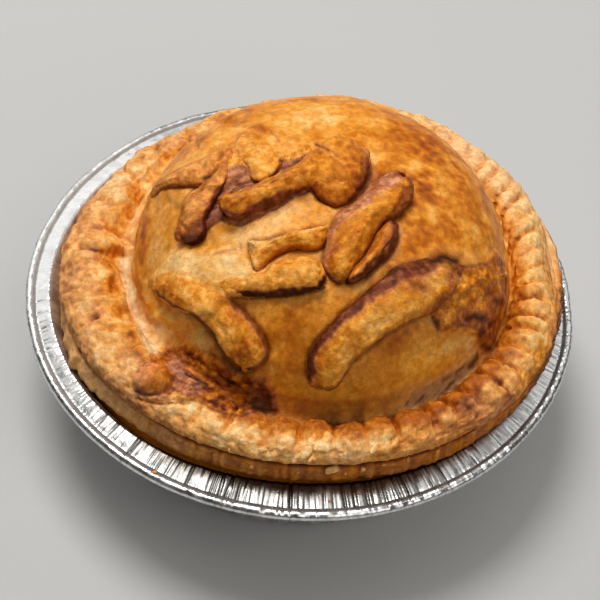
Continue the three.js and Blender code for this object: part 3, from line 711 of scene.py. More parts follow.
def pie_levels():
    """Control points of the pie's side and rim at each angle, from the base to the lid."""
    slump = hump(DEG, 150, 26) - 0.5 * hump(DEG, 148, 9) + 0.65 * hump(DEG, 112, 22)
    bulge = hump(DEG, -151, 13)
    rear = hump(DEG, 92, 42)                      # the rim sinks behind the lid
    fore = hump(DEG, -72, 62)                     # and is drawn in and up in front
    seam_open = 0.2 + 0.8 * smooth(np.abs((DEG + 118 + 180) % 360 - 180), 72, 42)
    inn = hump(DEG, -84, 36)
    one = np.ones(NT)
    wav = np.stack([COS, SIN, 0 * COS], -1)
    w1 = noise(wav * 56, 9.0, 21)
    w2 = noise(wav * 56, 4.0, 22)
    w3 = noise(wav * 56, 15.0, 25)
    cuts = noise(wav * 56, 1.3, 23) * 0.16 + noise(wav * 56, 0.75, 24) * 0.08
    cuts = cuts + hump(DEG, -150, 14) * (0.5 * noise(wav * 56, 3.0, 26) + 0.35 * noise(wav * 56, 1.1, 27)) + 1.3 * hump(DEG, -148.5, 1.1) + 0.7 * hump(DEG, -141, 0.8)
    fill = hump(DEG, -125, 17)                    # the stained flap covers the valley there
    right = hump(DEG, 8, 30)
    drawn = hump(DEG, 8, 15)
    wide = hump(DEG, 29, 13)
    fold = hump(DEG, 128, 30)                     # at the back left the rim folds against the lid
    press = hump(DEG, 8, 36)                      # on the right the crimps are pressed against the lid
    bare = 1 - 0.9 * hump(DEG, -119, 12)          # no crimps under the stained flap
    far = hump(DEG, 185, 40)
    lean = hump(DEG, -138, 34)                    # the band leans out at the left front
    thin = hump(DEG, -32, 24)                     # the band is thinner at the front right
    out = hump(DEG, 20, 18)                       # the layered edge stands out under the crimps on the right

    def lb(k):
        lo, sz, _, _ = lobes(DEG - SLANT * (16 - k))
        soft = CRIMP * (bare if k > 15 else 1.0)
        return lo * soft * sz, (1 - lo) * soft

    l11, g11 = lb(12)
    l13, g13 = lb(13)
    l14, g14 = lb(14)
    l15, g15 = lb(15)
    l16, g16 = lb(16)
    l17, g17 = lb(17)
    l18, g18 = lb(18)
    rows = [
        (ZERO, 42.0 * one, 0.75 * one),
        (ZERO, 44.2 * one, 2.2 * one),
        (ZERO, 49.6 * one, 14.5 * one),
        (ZERO, 53.6 * one, 26.4 * one),
        (RIM * 0.6, 53.6 - 1.2 * slump + 0.4 * bulge - 0.6 * fore - 0.7 * inn, 29.6 + 0.1 * fore),
        (RIM, 56.5 + 0.4 * lean + 1.0 * out - 0.6 * thin - 1.8 * slump + 1.4 * bulge + cuts - 1.0 * fore - 1.6 * inn - 0.5 * far, 30.3 - 0.8 * slump + 0.15 * fore),
        (RIM, 57.0 + 0.3 * lean + 1.1 * out - 0.6 * thin - 2.0 * slump + 1.4 * bulge + cuts - 0.9 * fore - 1.6 * inn - 0.5 * far, 31.3 - 0.9 * slump + 0.25 * fore),
        (RIM, 57.0 - 0.5 * lean + 1.1 * out - 0.6 * thin - 2.1 * slump + 1.4 * bulge + 0.9 * cuts - 0.9 * fore - 1.5 * inn - 0.4 * far, 33.2 - 1.0 * slump + 0.7 * fore),
        (RIM, 56.6 - 1.0 * lean + 1.2 * out - 0.6 * thin - 2.2 * slump + 1.3 * bulge + 0.8 * cuts + 0.2 * w2 - 0.8 * fore - 1.3 * inn, 34.6 - 1.1 * slump + 0.6 * fore),
        (RIM, 56.0 - 1.8 * seam_open - 2.4 * slump + 0.9 * bulge - 0.7 * fore - 1.1 * inn, 35.2 - 1.1 * slump + 0.15 * w1 + 0.6 * fore + 0.2 * inn),
        (RIM, 56.0 - 1.7 * seam_open - 2.4 * slump + 0.9 * bulge - 0.7 * fore - 1.1 * inn, 35.7 - 1.1 * slump + 0.15 * w1 + 0.7 * fore + 0.25 * inn),
        (RIM, 56.3 - 1.2 * drawn + 0.5 * wide - 3.0 * slump + 0.4 * bulge + 0.25 * w1 - 0.6 * right - 0.6 * fore - 0.9 * inn, 36.3 - 1.2 * slump + 0.25 * w1 + 0.8 * fore + 0.3 * inn),
        (RIM, 56.7 - 1.9 * drawn + 0.5 * wide - 3.0 * slump + 0.3 * w1 + 0.12 * l11 - 0.8 * right - 0.5 * fore - 0.8 * inn, 37.6 - 1.3 * slump + 0.2 * w1 + 0.7 * fore + 0.3 * inn),
        (RIM, 56.1 - 1.6 * drawn + 0.5 * wide - 3.0 * slump + 0.35 * w1 + 0.25 * l13 - 0.2 * g13 - 0.8 * right - 0.3 * fore - 0.5 * inn - 1.0 * press, 39.7 - 1.4 * slump - 0.6 * rear + 0.35 * fore),
        (lerp(RIM, CREST, 0.5), 54.2 - 0.7 * drawn + 0.4 * wide - 2.9 * slump + 0.3 * w1 + 0.25 * l14 - 0.3 * g14 - 0.5 * right - 2.0 * press, 41.6 - 1.4 * slump + 0.30 * l14 - 0.40 * g14 - 2.0 * rear),
        (CREST, 51.0 - 2.6 * slump + 0.3 * w1 - 2.6 * press, 42.6 - 1.3 * slump + 0.45 * l15 - 0.55 * g15 + 0.3 * w1 + 0.35 * w3 - 2.8 * rear),
        (CREST, 48.1 - 1.7 * slump - 0.25 * l16 + 0.2 * g16 - 2.4 * press, 42.0 - 0.9 * slump + 0.60 * l16 - 0.75 * g16 + 0.3 * w1 + 0.5 * fill - 2.8 * rear),
        (lerp(CREST, VALLEY, 0.5), 46.4 - 0.9 * slump - 0.65 * l17 + 0.5 * g17 - 1.7 * press, 0.9 * press + 40.2 - 0.4 * slump + 0.45 * l17 - 0.5 * g17 + 1.8 * fill - 1.8 * rear),
        (VALLEY, 45.0 - 0.3 * slump - 0.35 * l18 + 0.3 * g18 - 0.9 * press, 1.1 * press + 38.5 + 0.1 * l18 + 2.6 * fill - 0.6 * rear + 1.4 * fold),
        (VALLEY, 43.9 * one + 0.2 * w2 - 0.35 * press, 1.2 * press + 37.8 + 3.1 * fill + 0.25 * w2 + 2.0 * fold),
        (lerp(VALLEY, DOME_C, 0.6), 42.6 * one, 39.0 + 2.6 * fill + 1.6 * fold),
    ]
    tuck = hump(DEG, 143, 22)                     # at the back left the rim is drawn in and lower
    rows = [(c, r - 1.7 * tuck * smooth(r, 46.5, 54) * smooth(z, 28, 30), z - 0.8 * tuck * smooth(r, 45, 52) * smooth(z, 30, 38)) for c, r, z in rows]
    done = []
    for c, r, z in rows:
        done.append(np.stack([c[0] + r * COS, c[1] + r * SIN, z * one], -1))
    return np.array(done)


STEPS = [2, 4, 3, 3, 4, 4, 5, 4, 4, 3, 4, 4, 7, 8, 9, 9, 7, 6, 5, 4]


def pie_grid():
    cp = pie_levels()
    # the lid, as rings evenly spaced along its arc
    rho = np.linspace(0.0, 0.986, 4000)
    rr, zz = rho * DOME_R, DOME_FOOT + DOME_H * np.sqrt(1 - rho**DOME_POW)
    arc = np.r_[0, np.cumsum(np.hypot(np.diff(rr), np.diff(zz)))]
    gaps = np.full(400, 0.46)
    at = arc[-1] - np.cumsum(gaps)
    at = at[at > 0.5]
    dome = []
    for a in np.r_[arc[-1], at]:
        r, z = np.interp(a, arc, rr), np.interp(a, arc, zz)
        dome.append(np.stack([DOME_C[0] + r * COS, DOME_C[1] + r * SIN, np.full(NT, z)], -1))
    dome = np.array(dome)
    ctrl = np.concatenate([cp, dome[:2]])
    rows, where = [], []
    for k, n in enumerate(STEPS):
        a, b = ctrl[k], ctrl[k + 1]
        ln = np.linalg.norm(b - a, axis=-1, keepdims=True)
        ta = unit(ctrl[k + 1] - ctrl[k - 1]) * ln if k else (b - a)
        tb = unit(ctrl[k + 2] - ctrl[k]) * ln
        for s in np.arange(n) / n:
            rows.append((2 * s**3 - 3 * s**2 + 1) * a + (s**3 - 2 * s**2 + s) * ta + (-2 * s**3 + 3 * s**2) * b + (s**3 - s**2) * tb)
            where.append(k + s)
    k = len(STEPS)
    a, b = ctrl[k], ctrl[k + 1]
    ln = np.linalg.norm(b - a, axis=-1, keepdims=True)
    ta, tb = unit(ctrl[k + 1] - ctrl[k - 1]) * ln, unit(dome[1] - dome[0]) * ln
    for s in np.arange(7) / 7:
        rows.append((2 * s**3 - 3 * s**2 + 1) * a + (s**3 - 2 * s**2 + s) * ta + (-2 * s**3 + 3 * s**2) * b + (s**3 - s**2) * tb)
        where.append(k + s)
    n_rim = len(rows)
    g = np.concatenate([np.array(rows), dome])
    where = np.r_[where, np.full(len(dome), 21.0)]
    return g, where, n_rim


def build_pie():
    g, where, n_rim = pie_grid()
    nl = len(g)
    nrm = grid_normals(g)
    p, n = g.reshape(-1, 3), nrm.reshape(-1, 3)
    wf = np.repeat(where, NT)
    u, v = project(p)
    deg = np.tile(DEG, nl)
    crimp = np.tile(CRIMP, nl)
    lobe, _, groove, deep = lobes(deg - np.tile(SLANT, nl) * np.clip(16 - wf, -3, 4))
    is_dome = (wf >= 20.9).astype(float)
    on_rim = smooth(wf, 11.0, 12.0) * (1 - smooth(wf, 18.5, 20.0))
    on_band = smooth(wf, 4.6, 5.2) * (1 - smooth(wf, 8.0, 8.8))
    top = smooth(wf, 12.8, 14.2) * (1 - smooth(wf, 17.0, 18.5))
    shown = smooth(wf, 4.0, 5.0)
    front = hump(deg, -78, 58)
    left = hump(deg, 178, 60)
    right = hump(deg, 10, 50)
    gface = smooth(facing(p, n), 0.0, 0.2)

    # --- shape
    lump = fbm(p, 5.2, 61, 3)
    plain = 1 - 0.6 * right
    d = on_rim * (0.42 * lump + 0.22 * fbm(p, 1.9, 62, 2)) * plain
    flake = terrace(fbm(p * np.array([1, 1, 1.4]), 3.4, 63, 3) * 0.5 + 0.5, 6, 0.72)
    d += on_rim * (0.25 + 0.45 * front - 0.1 * right) * (1 - 0.75 * smooth(wf, 14.4, 15.6)) * 0.8 * (flake - 0.5)
    pits = smooth(fbm(p, 1.7, 64, 2), 0.40, 0.62)
    d -= top * (0.15 + 0.60 * front) * (1 - 0.7 * smooth(wf, 15.0, 16.0)) * 0.7 * pits
    crumb = fbm(p, 1.0, 78, 2)
    d += on_rim * (0.14 + 0.08 * front) * crumb * plain
    # pinched grooves cut sharply across the rim
    reach = smooth(wf, 12.6, 14.5) * (1 - 0.50 * front * (1 - smooth(wf, 14.0, 15.4)))
    flap = hump(deg, -119, 12) * smooth(wf, 14.8, 15.6)
    cut = np.exp(-((groove / (0.42 + 0.1 * noise(p, 3.0, 65))) ** 2)) * top * reach * np.clip(crimp, 0, 1.2) * (0.25 + 0.75 * deep) * (1 - 0.9 * flap)
    d -= (0.85 + 0.30 * right) * cut
    # soft folds across the left side
    ru, rv = u + 2.0 * noise(p, 4.0, 91), v + 2.0 * noise(p, 4.0, 92)
    tuck = np.zeros(len(p))
    for line, w in (([(80, 246), (92, 247), (102, 252), (116, 257)], 2.6), ([(92, 227), (106, 228), (120, 234), (131, 246)], 2.4), ([(84, 200), (98, 198), (112, 203)], 3.0),
                    ([(100, 304), (112, 308), (122, 316)], 2.6), ([(104, 330), (118, 326), (130, 330)], 2.4), ([(104, 282), (112, 284)], 3.0), ([(88, 320), (98, 316)], 2.4),
                    ([(118, 165), (130, 172), (140, 184)], 2.6), ([(150, 142), (160, 150), (168, 160)], 2.6), ([(178, 128), (190, 137), (196, 146)], 2.6), ([(208, 116), (222, 122), (234, 122)], 2.6)):
        tuck = np.maximum(tuck, np.exp(-((seg_dist(ru, rv, line) / w) ** 2)) * gface * smooth(wf, 12.0, 13.0))
    d -= 0.95 * tuck
    knob = np.zeros(len(p))
    for x, y, a, b, t, hgt in ((116, 249, 13, 7, 22, 1.9), (109, 281, 8, 11, 0, 1.3), (115, 306, 11, 8, 20, 1.8), (129, 333, 11, 8, 40, 1.8), (139, 351, 10, 6, 20, 1.0), (92, 238, 9, 6, 15, 0.6), (92, 300, 10, 7, 20, 0.5), (100, 330, 10, 7, 30, 0.5), (131, 198, 11, 9, 0, 0.7), (110, 215, 12, 8, 20, 0.6)):
        knob += hgt * blob(ru, rv, x, y, a, b, t)
    d += knob * gface * smooth(wf, 12.0, 13.5) * (1 - smooth(wf, 18.0, 19.0))
    # layers along the rim's outer side
    lay = np.sin(p[:, 2] * 4.6 + 2.4 * noise(p, 7.0, 66) + 0.9 * noise(p, 2.0, 67))
    lay2 = np.sin(p[:, 2] * 8.3 + 3.0 * noise(p, 5.0, 76) + 1.2 * noise(p, 1.4, 77))
    side = smooth(wf, 11.0, 11.6) * (1 - smooth(wf, 13.0, 14.0))
    flaky = 0.35 + 0.65 * hump(deg, -30, 45)
    d += side * flaky * (0.14 * lay + 0.07 * lay2)
    layers = smooth(wf, 4.8, 5.4) * (1 - smooth(wf, 11.4, 12.2)) * hump(deg, 8, 34)
    d += layers * (0.26 * lay + 0.16 * lay2)
    ribs = noise(np.stack([deg * 1.1, 0.12 * p[:, 2], 0 * u], -1), 1.0, 93)
    d += on_band * (0.08 * fbm(p, 1.5, 68, 2) + (0.06 * lay + 0.04 * lay2) * hump(deg, -25, 30) + 0.12 * ribs)
    d += 0.10 * shown * (1 - is_dome) * fbm(p, 0.9, 69, 2)
    # blister and folds of the stained flap at the left front
    bu, bv = u + 2.2 * noise(p, 3.0, 94) + 0.8 * noise(p, 1.2, 95), v + 2.2 * noise(p, 3.0, 96) + 0.8 * noise(p, 1.2, 97)
    bl = np.clip(1 - ((bu - 153) / np.where(bu < 153, 26.0, 20.5)) ** 2 - ((bv - 379) / 16.5) ** 2, 0, 1)
    d += gface * (3.0 * bl ** lerp(1.5, 1.0, smooth(bu, 135, 160)) + 0.22 * bl * fbm(p, 3.2, 98, 2) + 0.6 * blob(u, v, 172, 350, 12, 5))
    d -= gface * 0.7 * np.exp(-(seg_dist(u, v, [(136, 398), (148, 402), (164, 404), (176, 403), (194, 400)]) / 1.8) ** 2)
    d += gface * 0.5 * np.exp(-(seg_dist(u, v, [(140, 397), (154, 398), (172, 398), (190, 396)]) / 2.4) ** 2)
    patch = smooth(poly_in(u, v, PATCH_L), -3, 3) * gface
    d += patch * (1 - 0.7 * blob(u, v, 153, 379, 19, 15)) * (0.45 * fbm(p, 2.6, 70, 3) + 0.25 * fbm(p, 1.1, 75, 2))
    patch2 = smooth(poly_in(u, v, PATCH_R), -3, 3) * gface
    d += patch2 * 0.22 * fbm(p, 1.2, 79, 2)
    # the lid: soft lumps, fine crinkles and its own relief
    d += is_dome * (0.32 * fbm(p, 9.0, 71, 3) + 0.12 * fbm(p, 2.4, 72, 2))
    d += is_dome * 0.10 * ridged(p, 3.4, 73, 2)
    rel = np.zeros(len(p))
    on = wf >= 19.0
    rel[on] = lid_relief(p[on], n[on]) * smooth(wf[on], 19.0, 20.8)
    fold_in = np.zeros(len(p))
    fold_in[on] = creases(u[on] + 0.8 * noise(p[on], 1.4, 45), v[on] + 0.8 * noise(p[on], 1.4, 46)) * gface[on]
    q = p + n * (d + rel - 0.45 * fold_in)[:, None]

    # --- colour
    n2 = grid_normals(q.reshape(nl, NT, 3)).reshape(-1, 3)
    big, mid, small = fbm(p, 6.5, 81, 3), fbm(p, 2.4, 82, 3), fbm(p, 1.0, 83, 2)
    bake = np.full(len(p), 0.40)
    calm = 1 - 0.75 * blob(u, v, 330, 385, 150, 50) - 0.4 * blob(u, v, 250, 225, 90, 40)
    bake += is_dome * (0.05 + 0.05 * blob(u, v, 420, 180, 90, 70) + 0.12 * big * calm + (0.09 + 0.16 * blob(u, v, 430, 175, 75, 65)) * np.where(mid > 0, 0.5 * mid, mid) * calm + 0.025 * blob(u, v, 430, 175, 75, 65) + 0.07 * small * calm)
    calm_l = 1 - 0.05 * left - 0.35 * right
    rimb = -0.18 + 0.12 * big + (0.15 * mid + 0.12 * small) * calm_l + 0.22 * left * (1 - 0.7 * smooth(wf, 15.4, 16.4)) - 0.21 * hump(deg, 46, 26) + 0.06 * right + 0.18 * hump(deg, -48, 30) + 0.08 * hump(deg, -64, 12) - 0.05 * front * (1 - smooth(wf, 14.3, 15.5))
    inner = smooth(wf, lerp(15.4, 14.3, front), lerp(16.4, 15.5, front)) * (1 - smooth(wf, 18.2, 19.2))
    rimb += inner * (0.36 * lobe * np.clip(crimp, 0.35, 1) - 0.06 + 0.24 * front)
    # Grooves, dents and folds of the rim are painted darker and its bumps paler: painted shade in the hollows and
    # painted light on the rises.
    rimb += (0.32 + 0.16 * right) * cut + (0.16 - 0.05 * front) * np.clip(-d, 0, 1) * on_rim + 0.06 * tuck
    rimb -= (0.12 - 0.06 * front) * np.clip(d, 0, 1) * on_rim
    rimb += side * (0.05 + 0.12 * hump(deg, -10, 24) + 0.06 * lay)
    # Painted shade on the rim's underside, under its overhang, little of it on the right.
    under_rim_shade = smooth(wf, 10.6, 11.0) * (1 - smooth(wf, 11.6, 12.8))
    rimb += under_rim_shade * (0.20 - 0.22 * hump(deg, 16, 24))
    bake += on_rim * np.minimum(rimb, 0.27 + 0.08 * mid)
    # The band is painted darker in front: painted shade on the side turned from the light.
    bake += on_band * (0.12 + 0.12 * front + 0.16 * hump(deg, -12, 24) - 0.28 * hump(deg, 18, 18) - 0.26 * hump(deg, -142, 30) + 0.07 * mid + (0.05 * lay + 0.03 * lay2) * hump(deg, -25, 30) + 0.05 * small - (0.03 + 0.07 * front) * ribs)
    # Painted shade on the low wall, in the gap between the pie and the tin.
    bake += 0.12 * (1 - smooth(wf, 4.4, 5.0))
    valley = smooth(wf, 18.0, 19.0) * (1 - smooth(wf, 20.2, 21.0))
    bake += valley * (-0.06 + 0.1 * mid + 0.18 * hump(deg, 8, 36)) + smooth(wf, 17.6, 18.8) * (1 - smooth(wf, 20.6, 21.0)) * 0.26 * hump(deg, -92, 34)
    # Painted shadow along the seam under the rim's overhang, little of it on the right.
    seam_shadow = smooth(wf, 7.9, 8.8) * (1 - smooth(wf, 10.4, 11.0))
    bake += seam_shadow * (0.30 + 0.36 * hump(deg, -105, 62) - 0.42 * hump(deg, 16, 24)) + layers * (0.16 * lay + 0.12 * lay2)
    bake = np.maximum(bake, 0.10 * on_rim + 0.22 * is_dome)
    grey = valley * (0.35 * hump(deg, -48, 14) + 0.35 * left)
    bake += valley * left * (0.04 + 0.16 * mid + 0.10 * big)
    flour = on_rim * np.clip(0.14 + 0.10 * front + 0.24 * left + 0.28 * hump(deg, 48, 34) + 0.20 * big, 0, 0.8) * (1 - 0.9 * inner) * (1 - smooth(wf, 16.6, 18.0)) + on_band * np.clip(0.14 + 0.35 * hump(deg, -142, 30) + 0.45 * hump(deg, 16, 24) + 0.2 * mid, 0, 0.65)
    flour = np.maximum(flour, 0.5 * smooth(wf, 7.9, 8.8) * (1 - smooth(wf, 11.6, 12.6)) * hump(deg, 18, 24))
    flour = flour * (1 - 0.85 * np.clip(knob / 1.3, 0, 1) * gface) * (1 - 0.8 * smooth(bl, 0.0, 0.3) * gface)
    # Along the crisp edges of the strips the lid is stained and darkened: gravy stain and painted shade in the
    # creases.
    tint = paint(q, n2, bake, 0.60 * smooth(fold_in, 0.3, 0.9), 0.80 * smooth(fold_in, 0.2, 0.8), grey, flour=flour)
    for x, y, rx, ry, rgb in GOLDEN:
        tint = tint * (1 + (is_dome * gface * blob(u, v, x, y, rx, ry))[:, None] * (np.array(rgb) - 1))
    tint = tint * (1 - (on_band * gface * blob(u, v, 552, 330, 16, 46))[:, None] * np.array([0.24, 0.24, 0.30]))
    tint = lerp(tint, lin((122, 86, 36)), (0.65 * smooth(wf, 17.9, 18.9) * (1 - smooth(wf, 20.4, 20.95)) * hump(deg, -74, 30) * (0.7 + 0.5 * mid).clip(0, 1))[:, None])
    strip = smooth(poly_in(u + 0.8 * mid, v + 0.8 * small, BARE), -1.0, 1.2) * gface
    torn = fbm(np.stack([(u + v) / 5.0, (u - v) / 22.0, 0 * u], -1), 1.0, 99, 3)
    tint = lerp(tint, lerp(lin((176, 136, 88)), lin((104, 60, 14)), smooth(torn, 0.0, 0.45)[:, None]), (0.85 * strip)[:, None])
    # The blister: a painted highlight on its upper left, orange on its right, and painted shade towards its bottom.
    blister_lit_and_shaded = lerp(lin((228, 150, 98)), lin((212, 114, 20)), smooth(u + 0.5 * (v - 372), 146, 166)[:, None]) * lerp(1.0, 0.55, smooth(v, 376, 392))[:, None]
    tint = lerp(tint, blister_lit_and_shaded * (1 + 0.22 * mid + 0.15 * small)[:, None], (0.80 * smooth(bl, 0.10, 0.55) * gface)[:, None])
    gloss = is_dome * (0.70 + 0.30 * big) + on_rim * (0.12 + 0.40 * inner * lobe) + 0.1
    grit = np.clip(0.15 * is_dome + 0.40 * on_rim * (1 - 0.5 * left - 0.3 * right) + 0.25 * on_band + 0.75 * patch * (1 - 0.7 * blob(u, v, 153, 379, 19, 15)) + 0.65 * patch2 + 0.5 * smooth(poly_in(u, v, WEB), -2, 2) * gface, 0, 1)
    SURFACE["pie"] = (q, n2)

    # --- faces: finer rings outside, coarser near the top
    step = np.ones(nl, int)
    radius = np.hypot(g[:, 0, 0] - DOME_C[0], g[:, 0, 1] - DOME_C[1])
    for lim, st in ((29.0, 2), (13.0, 4), (6.0, 8)):
        step[n_rim:][radius[n_rim:] < lim] = st
    ids = -np.ones((nl, NT), int)
    keep = []
    count = 0
    for k in range(nl):
        cols = np.arange(0, NT, step[k])
        ids[k, cols] = count + np.arange(len(cols))
        count += len(cols)
        keep.append(k * NT + cols)
    keep = np.concatenate(keep)
    quads, tris = [], []
    for k in range(nl - 1):
        s0, s1 = step[k], step[k + 1]
        if s0 == s1:
            a = ids[k, ::s0]
            b = ids[k + 1, ::s1]
            quads.append(np.stack([a, np.roll(a, -1), np.roll(b, -1), b], 1))
        else:
            f0 = ids[k, ::s1]
            f1 = ids[k, s0::s1]
            f2 = np.roll(f0, -1)
            c0 = ids[k + 1, ::s1]
            c1 = np.roll(c0, -1)
            tris += [np.stack([f0, f1, c0], 1), np.stack([f1, c1, c0], 1), np.stack([f1, f2, c1], 1)]
    first, last = ids[0], ids[nl - 1, ::step[nl - 1]]
    verts = np.concatenate([q[keep], [[0, 0, 0.75]], [[DOME_C[0], DOME_C[1], q.reshape(nl, NT, 3)[nl - 1, :, 2].mean() + 0.02]]])
    tint = np.concatenate([tint[keep], [tint[0]], [tint[(nl - 1) * NT]]])
    gloss = np.r_[gloss[keep], 0.1, gloss[-1]]
    grit = np.r_[grit[keep], 0.1, 0.1]
    tris.append(np.stack([np.full(NT, count), np.roll(first, -1), first], 1))
    tris.append(np.stack([last, np.roll(last, -1), np.full(len(last), count + 1)], 1))
    return make_piece("pie_pastry", verts, np.concatenate(quads), np.concatenate(tris), tint, {"gloss": gloss, "grit": grit})


# ------------------------------------------------------------------ the strips
def line_dist(p, line):
    """Distance of points from a polyline in space."""
    best = np.full(len(p), 1e9)
    for a, b in zip(line[:-1], line[1:]):
        ab = b - a
        t = np.clip(((p - a) @ ab) / max(ab @ ab, 1e-9), 0, 1)
        best = np.minimum(best, np.linalg.norm(p - a - t[:, None] * ab, axis=1))
    return best


NX, NB = 34, 9


def raise_strip(spec, A, B, fa, fb, hs, x, nx):
    """The strip's surface over its two foot lines."""
    nu, m = len(A), len(x)
    mid, half = (A + B) / 2, (B - A) / 2
    base = mid[:, None, :] + half[:, None, :] * x[None, :, None]
    bx, by = base[..., 0], base[..., 1]
    nn = dome_n(bx.ravel(), by.ravel()).reshape(nu, m, 3)
    foot = np.stack([bx, by, dome_z(bx, by)], -1)
    rel = lid_relief(foot.reshape(-1, 3), nn.reshape(-1, 3)).reshape(nu, m)
    # rounded up from its outline on both sides
    on_dome = lambda q: np.c_[q[:, :2], dome_z(q[:, 0], q[:, 1])]
    da = line_dist(foot.reshape(-1, 3), on_dome(A)).reshape(nu, m)
    db = line_dist(foot.reshape(-1, 3), on_dome(B)).reshape(nu, m)
    width = np.linalg.norm(B - A, axis=1)
    squeeze = np.minimum(1.0, np.maximum(width, 0.5) / (spec["wa"] + spec["wb"]) * 1.12)
    squeeze = np.maximum(squeeze, 0.45)[:, None]
    ta, tb = np.clip(da / (spec["wa"] * squeeze), 0, 1), np.clip(db / (spec["wb"] * squeeze), 0, 1)
    rnd = lambda t, f: lerp(np.maximum(1 - (1 - t) ** 2.3, 0) ** (1 / 2.3), t * t * (3 - 2 * t), f[:, None])
    prof = rnd(ta, fa) * rnd(tb, fb)
    prof = prof / max(prof.max(), 0.7)
    is_top = (np.arange(m) < nx)[None, :]
    side_f = np.where(x[None, :] < 0, fa[:, None], fb[:, None])
    edge = lerp(0.30, -0.35, side_f) * (1 - prof)
    z_bot = -1.4 * np.sqrt(1 - np.minimum(np.abs(x), 1) ** 2)[None, :] * np.minimum(1, width / 4.0)[:, None] - 0.35
    z = np.where(is_top, spec["h"] * hs[:, None] * prof + edge, z_bot)
    p = foot + nn * (z + rel * lerp(1.0, 0.6, prof))[..., None]
    # crisp sides lean out over their foot
    lean = np.sin(np.clip(prof / 0.85, 0, 1) * math.pi) * (1 - side_f) * np.sign(x)[None, :] * is_top
    p += unit(half)[:, None, :] * (0.32 * lean * smooth(np.abs(x)[None, :], 0.3, 0.8))[..., None]
    return p, prof, nn, mid, width, side_f, is_top


